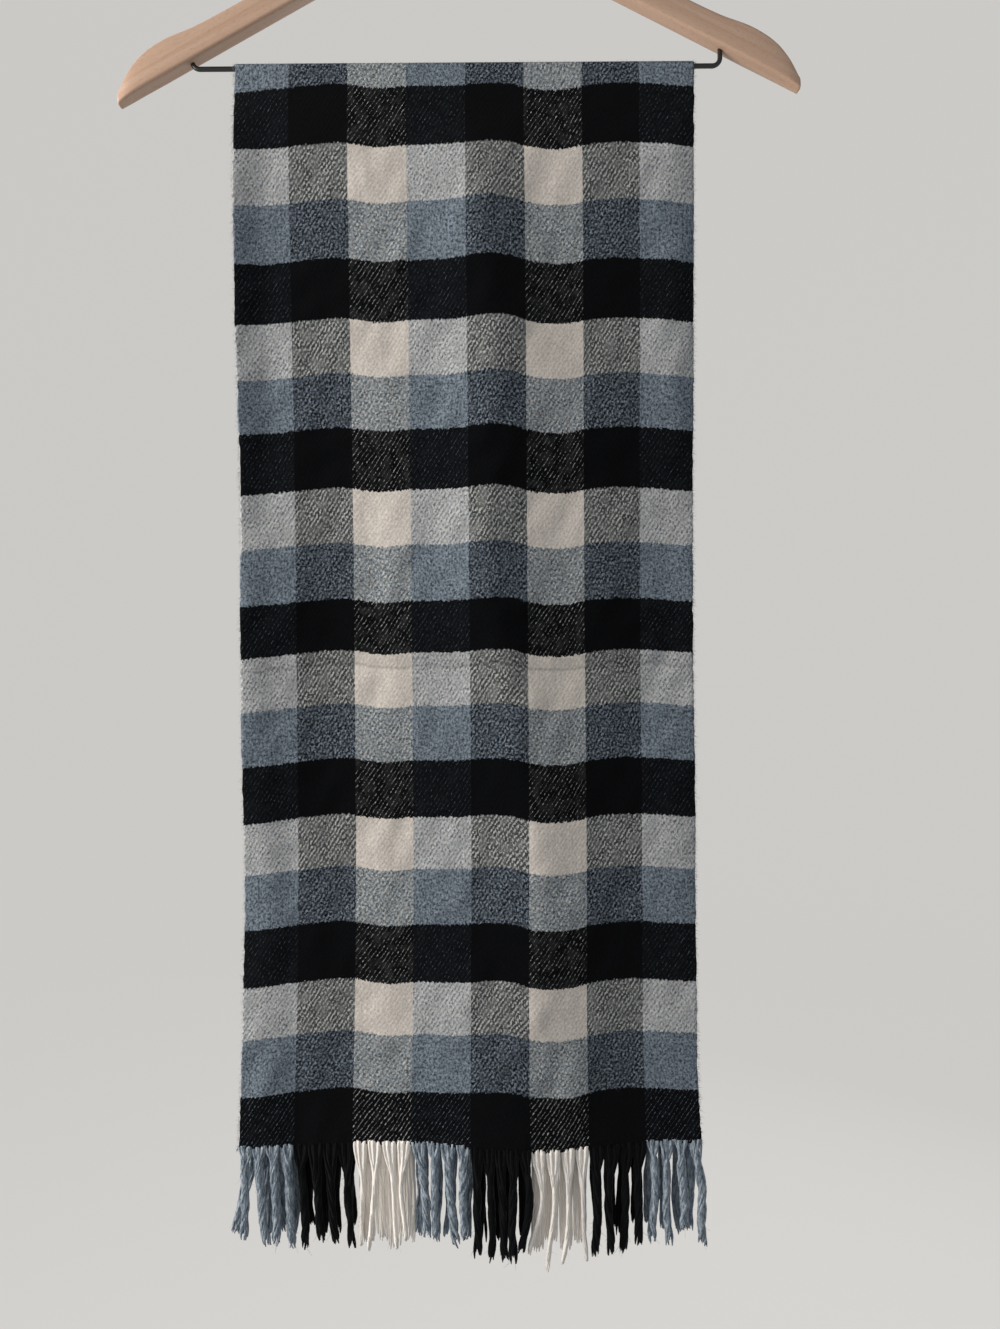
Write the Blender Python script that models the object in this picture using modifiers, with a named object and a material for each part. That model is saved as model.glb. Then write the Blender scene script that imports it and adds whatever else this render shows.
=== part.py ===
# A fringed check scarf, folded in half over the wire bar of a wooden hanger.
# Metres, +Z up, the front faces -Y. The origin is the inner top of the hook, where a rail carries it.
# The sizes below are in millimetres, and mm() turns them to metres.

import math
import random
from collections import namedtuple

import bmesh
import bpy
from mathutils import Matrix, Vector

# Hanger
HOOK_WIRE = 3.8            # diameter
HOOK_INNER_RADIUS = 22.0
HOOK_TIP_ANGLE = 205.0     # degrees round from the right-hand side, anticlockwise
HOOK_STEM_ANGLE = -35.0    # where the straight shank meets the round
HOOK_BEND_RADIUS = 14.0    # at the foot of the shank
HOOK_SOCKET_DEPTH = 22.0
BAR_WIRE = 3.2             # diameter
BAR_BELOW_SADDLE = 191.0   # from the inner top of the hook to the bar's centre
BAR_HALF_SPAN = 174.0      # to the centre of each upturned end
BAR_BEND_RADIUS = 5.0
BAR_SOCKET_DEPTH = 9.0
BEND_STEPS = 5             # straight pieces in one bend of a wire
HOOK_ROUND_STEPS = 28
SOCKET_CLEARANCE = 0.35    # all round a wire in the wood
ARM_SLOPE = 27.8           # degrees below level
ARM_APEX = 98.5            # where the arms' undersides would meet, above the bar
WOOD_TILT = 0.9            # degrees, the left tip lower
WOOD_CORNER = 2.0          # rounding of the arms' long edges

# Cloth
CLOTH_THICKNESS = 1.4
SEAM_GAP = 0.3
WRAP_LEG = 14.0            # how far the stretch over the bar reaches below the bar's centre
CLOTH_COLUMNS = 34
DROP_ROWS = 24             # evenly spaced, and each crease has rows of its own
CREASE_ROWS = (-1.0, -0.5, 0.0, 0.5, 1.0)   # places across a crease, in half heights
ROW_CROWDING = 0.3         # an even row this near a crease's row, in row spacings, is left out
WRAP_ROWS = 10
WRAP_LEG_ROWS = 4
EASE_IN = 60.0             # below the wrap, over which the folds come in
CREASE_SPREAD = 1.6        # how soon a crease reaches its full depth from its ends
LOWEST_DROP = 724.0        # below every hem

# Fringe
STRIP_HEIGHT = 3.0         # unwoven warp above the tassels
STRIPE_COUNT = 8
STRAND_RINGS = 4
STRAND_DEPTH = 2.8
STRAND_THINNING = 0.4      # of its depth, from root to tip
STRAND_GATHER = 0.6        # below 1 it narrows soonest near its root
STRAND_BOW = 1.5           # above 1 it leans most near its tip
TASSEL_SEED = 11

BAR_Z = -BAR_BELOW_SADDLE
BAR_CLEARANCE = SEAM_GAP + BAR_WIRE / 2
WRAP_RADIUS = BAR_CLEARANCE + CLOTH_THICKNESS / 2

# The wood at each distance out from the middle: how far its underside is lowered from the arm's
# straight line, its depth and its thickness
Station = namedtuple("Station", "out lowered depth thickness")
WOOD_STATIONS = (
    Station(0.0, 4.5, 27.5, 14.0),
    Station(9.0, 3.2, 26.0, 14.0),
    Station(24.0, 0.6, 22.5, 13.2),
    Station(55.0, 0.0, 20.6, 12.6),
    Station(100.0, 0.0, 19.6, 12.4),
    Station(145.0, 0.0, 19.2, 12.4),
    Station(172.0, 0.0, 20.0, 12.6),
    Station(193.0, 0.0, 22.6, 12.8),
    Station(208.0, 0.0, 20.6, 12.4),
    Station(217.0, 0.4, 15.2, 11.4),
    Station(223.4, 1.2, 8.4, 9.0),
)

# One drop of the cloth, at each distance down from the bar's centre: its two edges, and how far its
# middle stands out from the plane of the bar
Section = namedtuple("Section", "drop left right out")
FRONT_SECTIONS = (
    Section(0, -145.5, 156.0, WRAP_RADIUS),
    Section(14, -145.8, 156.0, 3.3),
    Section(45, -146.0, 156.0, 3.9),
    Section(130, -145.6, 156.2, 3.2),
    Section(260, -144.8, 156.0, 2.7),
    Section(390, -144.5, 156.0, 3.0),
    Section(520, -145.0, 156.4, 2.6),
    Section(620, -147.4, 156.8, 2.9),
    Section(680, -150.2, 158.4, 3.2),
    Section(LOWEST_DROP, -152.4, 160.4, 3.7),
)
BACK_SECTIONS = (
    Section(0, -145.5, 156.0, WRAP_RADIUS),
    Section(14, -145.3, 156.1, 3.3),
    Section(45, -145.0, 156.4, 3.6),
    Section(150, -144.6, 156.6, 2.9),
    Section(300, -144.4, 156.6, 2.7),
    Section(450, -144.6, 156.8, 2.9),
    Section(590, -145.6, 157.2, 2.6),
    Section(680, -147.0, 158.0, 3.0),
    Section(LOWEST_DROP, -148.6, 158.8, 3.4),
)

# Where each end's weft stops, across the cloth
HemPoint = namedtuple("HemPoint", "x drop")
FRONT_HEM = (
    HemPoint(-152, 719.5),
    HemPoint(-100, 719.0),
    HemPoint(-50, 716.5),
    HemPoint(-15, 716.6),
    HemPoint(22, 719.2),
    HemPoint(56, 721.0),
    HemPoint(92, 720.0),
    HemPoint(125, 718.2),
    HemPoint(160, 717.8),
)
BACK_HEM = (
    HemPoint(-146, 711.0),
    HemPoint(-80, 713.5),
    HemPoint(-20, 712.0),
    HemPoint(50, 709.5),
    HemPoint(110, 711.5),
    HemPoint(160, 709.0),
)

# Soft folds that run down the cloth: where each starts and ends, its place across at both, its half
# width, and how far it stands out (a trough is negative)
Fold = namedtuple("Fold", "top bottom x_top x_bottom width out")
# Both drops follow these, out towards the front
SHARED_FOLDS = (
    Fold(140, 480, -80, -77, 18, -1.6),
    Fold(440, LOWEST_DROP, -80, -77, 16, -1.4),
    Fold(250, 540, -140, -138, 26, 5.0),
    Fold(250, LOWEST_DROP, 122, 118, 16, -1.0),
    Fold(200, 480, 138, 138, 26, -2.6),
    Fold(560, LOWEST_DROP, 6, 8, 20, 1.8),
)
FRONT_FOLDS = (
    Fold(300, 560, -145, -146, 11, 1.4),
    Fold(470, LOWEST_DROP, -130, -131, 9, 1.5),
    Fold(470, LOWEST_DROP, -112, -111, 7, -0.7),
    Fold(60, 300, 122, 120, 10, -0.8),
)
BACK_FOLDS = (
    Fold(20, 460, 116, 98, 32, 1.5),
    Fold(240, LOWEST_DROP, -44, -60, 32, 1.6),
    Fold(420, LOWEST_DROP, 84, 96, 24, 1.8),
    Fold(560, LOWEST_DROP, 2, 8, 22, 1.6),
    Fold(60, 400, -120, -112, 28, 1.2),
    Fold(480, LOWEST_DROP, 150, 156, 16, 1.8),
)

# Creases across the cloth, left from storing it folded: place, reach, half height and how far out
Crease = namedtuple("Crease", "drop slope x half_reach half_height out")
FRONT_CREASES = (
    Crease(386, 0.010, 0, 190, 9, 1.5),
    Crease(203, -0.016, -40, 110, 12, 0.9),
    Crease(560, 0.020, 60, 110, 14, 0.9),
)
BACK_CREASES = (
    Crease(372, -0.012, 10, 190, 9, 1.4),
    Crease(190, 0.014, 50, 120, 12, 0.9),
    Crease(540, 0.010, -30, 120, 14, 1.0),
)

# The front drop's edges turn out of its plane: between which drops, where each turn starts, which way
# across it runs, and how steeply it stands out
Turn = namedtuple("Turn", "top bottom x way steepness")
FRONT_TURNS = (
    Turn(10, 320, -127, -1, 0.36),
    Turn(250, 500, -128, -1, 0.15),
    Turn(440, 900, -128, -1, 0.09),
    Turn(20, 320, 145, 1, -0.3),
    Turn(250, 600, 144, 1, -0.15),
)
TURN_STARTS = 40.0          # the length over which a turn comes in
TURN_ENDS = 90.0
TURN_BEND = 3.0             # radius, about

Layer = namedtuple("Layer", "name side sections hem folds creases turns")
FRONT = Layer("front", -1, FRONT_SECTIONS, FRONT_HEM, FRONT_FOLDS, FRONT_CREASES, FRONT_TURNS)
BACK = Layer("back", 1, BACK_SECTIONS, BACK_HEM, BACK_FOLDS, BACK_CREASES, ())

# The ridge down both drops, from storing the cloth folded lengthwise: its place across, and how far
# its narrow crest and the broad roof under it stand out to the front
Ridge = namedtuple("Ridge", "drop x crest roof")
RIDGE_LINE = (
    Ridge(25, 13, 0.0, 0.0),
    Ridge(60, 15, 4.0, 1.4),
    Ridge(110, 16, 6.0, 2.2),
    Ridge(160, 22, 6.0, 2.8),
    Ridge(210, 24, 6.0, 3.4),
    Ridge(260, 20, 5.8, 3.9),
    Ridge(350, 21, 5.6, 4.4),
    Ridge(400, 32, 5.2, 4.6),
    Ridge(450, 40, 5.0, 5.0),
    Ridge(510, 50, 4.8, 5.4),
    Ridge(600, 51, 4.6, 6.0),
    Ridge(660, 42, 2.8, 6.6),
    Ridge(LOWEST_DROP, 34, 1.6, 7.0),
)
CREST_REACH = (38.0, 48.0)  # to the left and to the right
ROOF_REACH = (140.0, 118.0)
RIDGE_ROUNDING = 0.1        # as a share of its reach
RIDGE_HOLLOW = 1.5          # above 1 its flanks flatten out as they fall

# Both drops lean out and back together: distance down from the bar, and how far towards the back
Sway = namedtuple("Sway", "drop back")
SWAYS = (Sway(0, 0.0), Sway(120, -1.0), Sway(330, 1.6), Sway(560, -0.8), Sway(800, 1.8))

# The tassels of each warp stripe in front, left to right: how far each tip leans and how long it is
Stripe = namedtuple("Stripe", "colour leans lengths")
FRONT_TASSELS = (
    Stripe("blue", (-1, 5, 2, 3), (61, 66, 65, 68)),
    Stripe("black", (3, 3, 3, 4), (69, 65, 67, 71)),
    Stripe("cream", (0, -5, 4, 1), (69, 71, 70, 65)),
    Stripe("blue", (5, 1, 5, 1), (62, 63, 67, 62)),
    Stripe("black", (0, 1, 2.6, -0.6, -2.8), (71, 74, 73, 73, 66)),
    Stripe("cream", (-6, -4, -3, 3), (68, 78, 75, 76)),
    Stripe("black", (-1, -1, -1, 0), (73, 71, 73, 69)),
    Stripe("blue", (-1, 1, 3, 5), (67, 69, 60, 70)),
)
# How wide a tassel is at its root and its tip, as a share of the space for one
TasselShape = namedtuple("TasselShape", "root tip")
TASSEL_SHAPES = {
    "blue": TasselShape(0.82, 0.52),
    "black": TasselShape(0.90, 0.50),
    "cream": TasselShape(0.84, 0.26),
}
BACK_TASSEL_LENGTHS = {"blue": 70.0, "black": 68.0, "cream": 78.0}
BACK_TASSEL_SPREAD = 5.0
BACK_TASSEL_LEAN = 2.1      # small enough that neighbours stay apart
TASSEL_DRIFT = 1.5         # towards the front or the back

# Colour, roughness and metallic value of each material
LOOKS = {
    "brushed_wool_check": ((0.16, 0.17, 0.18), 0.95, 0.0),
    "wool_blue": ((0.17, 0.21, 0.25), 0.95, 0.0),
    "wool_black": ((0.006, 0.007, 0.009), 0.95, 0.0),
    "wool_cream": ((0.62, 0.58, 0.52), 0.95, 0.0),
    "waxed_beech": ((0.45, 0.30, 0.20), 0.45, 0.0),
    "black_enamelled_wire": ((0.01, 0.01, 0.011), 0.35, 0.0),
    "nickel_plated_wire": ((0.62, 0.60, 0.57), 0.25, 1.0),
}


def mm(value):
    return value * 0.001


def material(name):
    found = bpy.data.materials.get(name)
    if found:
        return found
    colour, roughness, metallic = LOOKS[name]
    made = bpy.data.materials.new(name)
    made.use_nodes = True
    shader = made.node_tree.nodes["Principled BSDF"]
    shader.inputs["Base Color"].default_value = (*colour, 1.0)
    shader.inputs["Roughness"].default_value = roughness
    shader.inputs["Metallic"].default_value = metallic
    made.diffuse_color = (*colour, 1.0)
    return made


def add_object(name, data, collection, material_name=None):
    thing = bpy.data.objects.new(name, data)
    collection.objects.link(thing)
    if material_name:
        data.materials.append(material(material_name))
    return thing


def add_mesh(name, bm, collection, material_name=None):
    mesh = bpy.data.meshes.new(name)
    bm.to_mesh(mesh)
    bm.free()
    thing = add_object(name, mesh, collection, material_name)
    mesh.shade_smooth()
    mesh.set_sharp_from_angle(angle=math.radians(40))
    return thing


def add_wire(name, points, diameter, resolution, collection, material_name):
    """A round wire through points given in millimetres."""
    curve = bpy.data.curves.new(name, "CURVE")
    curve.dimensions = "3D"
    curve.bevel_depth = mm(diameter / 2)
    curve.bevel_resolution = resolution
    curve.use_fill_caps = True
    spline = curve.splines.new("POLY")
    spline.points.add(len(points) - 1)
    for corner, point in zip(spline.points, points):
        corner.co = (*(mm(value) for value in point), 1.0)
    spline.use_smooth = True
    return add_object(name, curve, collection, material_name)


def smooth_value(rows, key, value, at):
    """Reads one column of a table along another, on a smooth curve through its rows."""
    keys = [getattr(row, key) for row in rows]
    values = [getattr(row, value) for row in rows]
    if at <= keys[0]:
        return values[0]
    if at >= keys[-1]:
        return values[-1]
    i = max(n for n in range(len(keys) - 1) if keys[n] <= at)
    before, after = max(i - 1, 0), min(i + 2, len(keys) - 1)
    span = keys[i + 1] - keys[i]
    t = (at - keys[i]) / span
    start = (values[i + 1] - values[before]) / (keys[i + 1] - keys[before]) * span
    end = (values[after] - values[i]) / (keys[after] - keys[i]) * span
    rise = values[i + 1] - values[i]
    return values[i] + t * start + t * t * (3 * rise - 2 * start - end) + t**3 * (start + end - 2 * rise)


def swell(distance):
    """1 at 0, falling smoothly to 0 at 1 on either side."""
    distance = abs(distance)
    return 0.5 + 0.5 * math.cos(math.pi * distance) if distance < 1 else 0.0


def fade(drop, top, bottom):
    """Rises over the first third of a fold and falls over its last third, or stays up at the hem."""
    third = (bottom - top) / 3
    rise = min(max((drop - top) / third, 0), 1)
    fall = min(max((bottom - drop) / third, 0), 1) if bottom < LOWEST_DROP else 1
    return (0.5 - 0.5 * math.cos(math.pi * rise)) * (0.5 - 0.5 * math.cos(math.pi * fall))


def fold_relief(folds, x, drop):
    """How far a table's folds push the cloth out at one place."""
    out = 0.0
    for fold in folds:
        along = min(max((drop - fold.top) / (fold.bottom - fold.top), 0), 1)
        centre = fold.x_top + (fold.x_bottom - fold.x_top) * along
        out += fold.out * swell((x - centre) / (2 * fold.width)) * fade(drop, fold.top, fold.bottom)
    return out


def crease_relief(layer, x, drop):
    out = 0.0
    for crease in layer.creases:
        middle = crease.drop + crease.slope * (x - crease.x)
        reach = swell((x - crease.x) / crease.half_reach)
        out += crease.out * swell((drop - middle) / crease.half_height) * min(1, CREASE_SPREAD * reach)
    return out


def ridge_relief(x, drop):
    aside = x - smooth_value(RIDGE_LINE, "drop", "x", drop)
    out = 0.0
    for part, reach in (("crest", CREST_REACH), ("roof", ROOF_REACH)):
        share = abs(aside) / reach[0 if aside < 0 else 1]
        rounded = math.hypot(share, RIDGE_ROUNDING) - RIDGE_ROUNDING
        height = smooth_value(RIDGE_LINE, "drop", part, drop)
        out += height * max(0.0, 1 - rounded) ** RIDGE_HOLLOW
    return out


def turn_relief(turns, x, drop):
    out = 0.0
    for turn in turns:
        beyond = turn.way * (x - turn.x)
        start = min(max((drop - turn.top) / TURN_STARTS, 0), 1)
        end = min(max((turn.bottom - drop) / TURN_ENDS, 0), 1)
        out += turn.steepness * start * end * (beyond + math.hypot(beyond, TURN_BEND)) / 2
    return out


def cloth_point(layer, across, drop):
    """A point on the middle of the cloth: across runs 0 to 1 from left to right, drop is in mm."""
    left = smooth_value(layer.sections, "drop", "left", drop)
    right = smooth_value(layer.sections, "drop", "right", drop)
    x = left + (right - left) * across
    out = smooth_value(layer.sections, "drop", "out", drop)
    free = min(max((drop - WRAP_LEG) / EASE_IN, 0), 1)
    relief = fold_relief(layer.folds, x, drop) + crease_relief(layer, x, drop)
    out += (relief + turn_relief(layer.turns, x, drop)) * free
    shared = fold_relief(SHARED_FOLDS, x, drop) + ridge_relief(x, drop)
    back = (smooth_value(SWAYS, "drop", "back", drop) - shared) * free
    return Vector((x, layer.side * out + back, BAR_Z - drop))


def hem_drop(layer, across):
    last = layer.sections[-1]
    x = last.left + (last.right - last.left) * across
    return smooth_value(layer.hem, "x", "drop", x)


def sheet(name, rows, collection):
    """A wall of cloth on rows of points, each row running from left to right."""
    bm = bmesh.new()
    grid = [[bm.verts.new([mm(value) for value in point]) for point in row] for row in rows]
    for upper, lower in zip(grid, grid[1:]):
        for i in range(len(upper) - 1):
            bm.faces.new((upper[i], lower[i], lower[i + 1], upper[i + 1]))
    thing = add_mesh(name, bm, collection, "brushed_wool_check")
    wall = thing.modifiers.new("cloth", "SOLIDIFY")
    wall.thickness = mm(CLOTH_THICKNESS)
    wall.offset = 0.0
    wall.use_even_offset = True
    return thing


def row_places(layer):
    """How far down each row of a drop lies, from 0 at its top to 1 at its hem."""
    start = WRAP_LEG + SEAM_GAP
    length = hem_drop(layer, 0.5) - start
    creased = [c.drop + place * c.half_height for c in layer.creases for place in CREASE_ROWS]
    places = [(drop - start) / length for drop in creased]
    for j in range(DROP_ROWS + 1):
        place = j / DROP_ROWS
        if j in (0, DROP_ROWS) or min(abs(place - other) for other in places) > ROW_CROWDING / DROP_ROWS:
            places.append(place)
    return sorted(places)


def make_drop(layer, collection):
    start = WRAP_LEG + SEAM_GAP
    rows = []
    for place in row_places(layer):
        row = []
        for i in range(CLOTH_COLUMNS + 1):
            across = i / CLOTH_COLUMNS
            drop = start + (hem_drop(layer, across) - start) * place
            row.append(cloth_point(layer, across, drop))
        rows.append(row if layer.side < 0 else row[::-1])
    return sheet("scarf_" + layer.name, rows, collection)


def make_fold(collection):
    """The stretch over the bar, from the back drop up, round and down to the front drop."""
    path = []
    for j in range(WRAP_LEG_ROWS):
        path.append((BACK, WRAP_LEG * (1 - j / WRAP_LEG_ROWS)))
    for j in range(WRAP_ROWS + 1):
        path.append((None, 180 * j / WRAP_ROWS))
    for j in range(WRAP_LEG_ROWS):
        path.append((FRONT, WRAP_LEG * (j + 1) / WRAP_LEG_ROWS))
    rows = []
    for layer, place in path:
        row = []
        for i in range(CLOTH_COLUMNS + 1):
            across = i / CLOTH_COLUMNS
            if layer:
                row.append(cloth_point(layer, across, place))
            else:
                top = cloth_point(FRONT, across, 0)
                angle = math.radians(place)
                y = WRAP_RADIUS * math.cos(angle)
                row.append(Vector((top.x, y, BAR_Z + WRAP_RADIUS * math.sin(angle))))
        rows.append(row)
    return sheet("scarf_fold", rows, collection)


def tassels_of(layer):
    """The stripes of one end. The far end's tassels hang a little unevenly too."""
    if layer is FRONT:
        return FRONT_TASSELS
    dice = random.Random(TASSEL_SEED)
    stripes = []
    for stripe in FRONT_TASSELS:
        leans = [dice.uniform(-BACK_TASSEL_LEAN, BACK_TASSEL_LEAN) for _ in range(4)]
        usual = BACK_TASSEL_LENGTHS[stripe.colour]
        lengths = [usual + dice.uniform(-1, 1) * BACK_TASSEL_SPREAD for _ in range(4)]
        stripes.append(Stripe(stripe.colour, leans, lengths))
    return stripes


def draw_tassel(bm, face, shape, reach, lean, drift):
    """Draws one tassel down out of a face of the strip, narrowing and leaning as it goes."""
    root = face.calc_center_median()
    half_root = max(vert.co.x for vert in face.verts) - root.x
    for step in range(1, STRAND_RINGS + 1):
        t = step / STRAND_RINGS
        half_width = half_root * (1 - (1 - shape.tip / shape.root) * t**STRAND_GATHER)
        half_depth = mm(STRAND_DEPTH / 2 * (1 - STRAND_THINNING * t))
        centre = root + Vector((lean * t**STRAND_BOW, drift * t, -reach * t))
        face = bmesh.ops.extrude_discrete_faces(bm, faces=[face])["faces"][0]
        corners = sorted(face.verts, key=lambda vert: vert.co.x)
        for side, pair in ((-1, corners[:2]), (1, corners[2:])):
            pair.sort(key=lambda vert: vert.co.y)
            for front, vert in zip((-1, 1), pair):
                vert.co = centre + Vector((side * half_width, front * half_depth, 0))


def make_fringe(layer, index, stripe, collection):
    """One stripe's strip of loose warp, with its tassels drawn down out of the strip's underside."""
    shape = TASSEL_SHAPES[stripe.colour]
    count = len(stripe.leans)
    edge_gap = SEAM_GAP / 2 / (layer.sections[0].right - layer.sections[0].left)
    left = index / STRIPE_COUNT + edge_gap
    slot = (1 / STRIPE_COUNT - 2 * edge_gap) / count
    cuts = [left]
    for i in range(count):
        centre = left + slot * (i + 0.5)
        cuts += [centre - slot * shape.root / 2, centre + slot * shape.root / 2]
    cuts.append(left + slot * count)
    half = CLOTH_THICKNESS / 2

    bm = bmesh.new()
    rings = []
    for across in cuts:
        top = cloth_point(layer, across, hem_drop(layer, across) + SEAM_GAP)
        low = top.z - STRIP_HEIGHT
        corners = ((-half, top.z), (-half, low), (half, low), (half, top.z))
        rings.append([bm.verts.new((mm(top.x), mm(top.y + dy), mm(z))) for dy, z in corners])
    undersides = []
    for here, there in zip(rings, rings[1:]):
        walls = [bm.faces.new((here[k], here[k - 3], there[k - 3], there[k])) for k in range(4)]
        undersides.append(walls[1])
    bm.faces.new(rings[0][::-1])
    bm.faces.new(rings[-1])

    dice = random.Random(TASSEL_SEED + 100 * index + layer.side)
    for i in range(count):
        reach = mm(stripe.lengths[i] - STRIP_HEIGHT)
        drift = mm(dice.uniform(-TASSEL_DRIFT, TASSEL_DRIFT))
        draw_tassel(bm, undersides[2 * i + 1], shape, reach, mm(stripe.leans[i]), drift)
    bmesh.ops.recalc_face_normals(bm, faces=bm.faces)
    return add_mesh(f"fringe_{layer.name}_{index + 1}", bm, collection, "wool_" + stripe.colour)


def underside(out):
    """Height of the arm's straight underside above the bar, before the wood is tilted."""
    return ARM_APEX - math.tan(math.radians(ARM_SLOPE)) * out


def wood_ring(station):
    """Eight corners of the wood, cut across at one distance out."""
    low = underside(station.out) - station.lowered
    high = low + station.depth
    half = station.thickness / 2
    corner = min(WOOD_CORNER, 0.3 * station.depth)
    ring = []
    for side, z, towards in ((-1, low, 1), (1, low, 1), (1, high, -1), (-1, high, -1)):
        flat = (side * (half - corner), z)
        upright = (side * half, z + towards * corner)
        ring += [upright, flat] if side * towards < 0 else [flat, upright]
    return [Vector((station.out, y, BAR_Z + z)) for y, z in ring]


def make_body(collection, cutters):
    bm = bmesh.new()
    rings = [[bm.verts.new([mm(v) for v in point]) for point in wood_ring(s)] for s in WOOD_STATIONS]
    for here, there in zip(rings, rings[1:]):
        for k in range(8):
            n = (k + 1) % 8
            bm.faces.new((here[k], here[n], there[n], there[k]))
    bm.faces.new(rings[-1])
    bmesh.ops.recalc_face_normals(bm, faces=bm.faces)
    apex = Matrix.Translation((0, 0, mm(BAR_Z + ARM_APEX)))
    bmesh.ops.transform(bm, matrix=apex.inverted(), verts=bm.verts)
    body = add_mesh("hanger_body", bm, collection, "waxed_beech")
    body.matrix_world = apex @ Matrix.Rotation(math.radians(-WOOD_TILT), 4, "Y")
    mirror = body.modifiers.new("other arm", "MIRROR")
    mirror.use_axis = (True, False, False)
    mirror.use_clip = True
    mirror.merge_threshold = 0.0001
    soft = body.modifiers.new("rounding", "SUBSURF")
    soft.levels = 1
    soft.render_levels = 1
    top = BAR_Z + ARM_APEX + WOOD_STATIONS[0].depth
    sockets = [("hook_socket", 0.0, top - HOOK_SOCKET_DEPTH, top + HOOK_SOCKET_DEPTH, HOOK_WIRE)]
    for side, name in ((-1, "left"), (1, "right")):
        roof = bar_end_height(side) + SOCKET_CLEARANCE
        low = roof - 2 * BAR_SOCKET_DEPTH
        sockets.append((f"bar_socket_{name}", side * BAR_HALF_SPAN, low, roof, BAR_WIRE))
    for name, x, low, high, wire in sockets:
        hole = bmesh.new()
        radius = mm(wire / 2 + SOCKET_CLEARANCE)
        place = Matrix.Translation((mm(x), 0, mm((low + high) / 2)))
        bmesh.ops.create_cone(
            hole, cap_ends=True, segments=16, radius1=radius, radius2=radius,
            depth=mm(high - low), matrix=place
        )
        cutter = add_mesh(name, hole, cutters)
        cutter.hide_render = True
        cutter.display_type = "WIRE"
        cut = body.modifiers.new(name, "BOOLEAN")
        cut.operation = "DIFFERENCE"
        cut.solver = "EXACT"
        cut.object = cutter
    return body


def bar_end_height(side):
    """World height of the end of the bar inside one arm."""
    lift = side * BAR_HALF_SPAN * math.sin(math.radians(WOOD_TILT))
    return BAR_Z + underside(BAR_HALF_SPAN) + lift + BAR_SOCKET_DEPTH


def make_bar(collection):
    points = []
    for side in (-1, 1):
        end = [(side * BAR_HALF_SPAN, 0, bar_end_height(side))]
        for step in range(BEND_STEPS + 1):
            angle = math.radians(90 * step / BEND_STEPS)
            x = BAR_HALF_SPAN - BAR_BEND_RADIUS * (1 - math.cos(angle))
            z = BAR_Z + BAR_BEND_RADIUS * (1 - math.sin(angle))
            end.append((side * x, 0, z))
        points += end if side < 0 else end[::-1]
    return add_wire("hanger_bar", points, BAR_WIRE, 2, collection, "black_enamelled_wire")


def make_hook(collection):
    radius = HOOK_INNER_RADIUS + HOOK_WIRE / 2
    centre = Vector((0, 0, -HOOK_INNER_RADIUS))
    start = math.radians(HOOK_STEM_ANGLE)
    joint = centre + radius * Vector((math.cos(start), 0, math.sin(start)))
    heading = Vector((-math.sin(start), 0, math.cos(start)))
    turn = -start
    foot_x = HOOK_BEND_RADIUS * (1 - math.cos(turn))
    straight = (joint.x - foot_x) / heading.x
    foot_z = joint.z - straight * heading.z - HOOK_BEND_RADIUS * math.sin(turn)
    socket_end = BAR_Z + ARM_APEX + WOOD_STATIONS[0].depth - HOOK_SOCKET_DEPTH + SOCKET_CLEARANCE
    points = [(0, 0, socket_end), (0, 0, (socket_end + foot_z) / 2)]
    for step in range(BEND_STEPS + 1):
        angle = turn * step / BEND_STEPS
        x = HOOK_BEND_RADIUS * (1 - math.cos(angle))
        points.append((x, 0, foot_z + HOOK_BEND_RADIUS * math.sin(angle)))
    for step in range(HOOK_ROUND_STEPS + 1):
        angle = start + (math.radians(HOOK_TIP_ANGLE) - start) * step / HOOK_ROUND_STEPS
        spot = centre + radius * Vector((math.cos(angle), 0, math.sin(angle)))
        points.append(tuple(spot))
    return add_wire("hanger_hook", points, HOOK_WIRE, 3, collection, "nickel_plated_wire")


def main():
    for thing in list(bpy.data.objects):
        bpy.data.objects.remove(thing, do_unlink=True)
    part = bpy.data.collections.new("check_scarf_on_hanger")
    cutters = bpy.data.collections.new("cutters")
    for collection in (part, cutters):
        bpy.context.scene.collection.children.link(collection)
    make_body(part, cutters)
    make_bar(part)
    make_hook(part)
    make_fold(part)
    for layer in (FRONT, BACK):
        make_drop(layer, part)
        for index, stripe in enumerate(tassels_of(layer)):
            make_fringe(layer, index, stripe, part)


main()
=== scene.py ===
# A fringed check scarf of brushed cashmere, folded in half over the wire bar of a wooden hanger.
# Metres, +Z up, and the front faces -Y. The tables below are in millimetres.
import math
import random

import bpy
import numpy as np
from mathutils import Matrix, Vector


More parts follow.
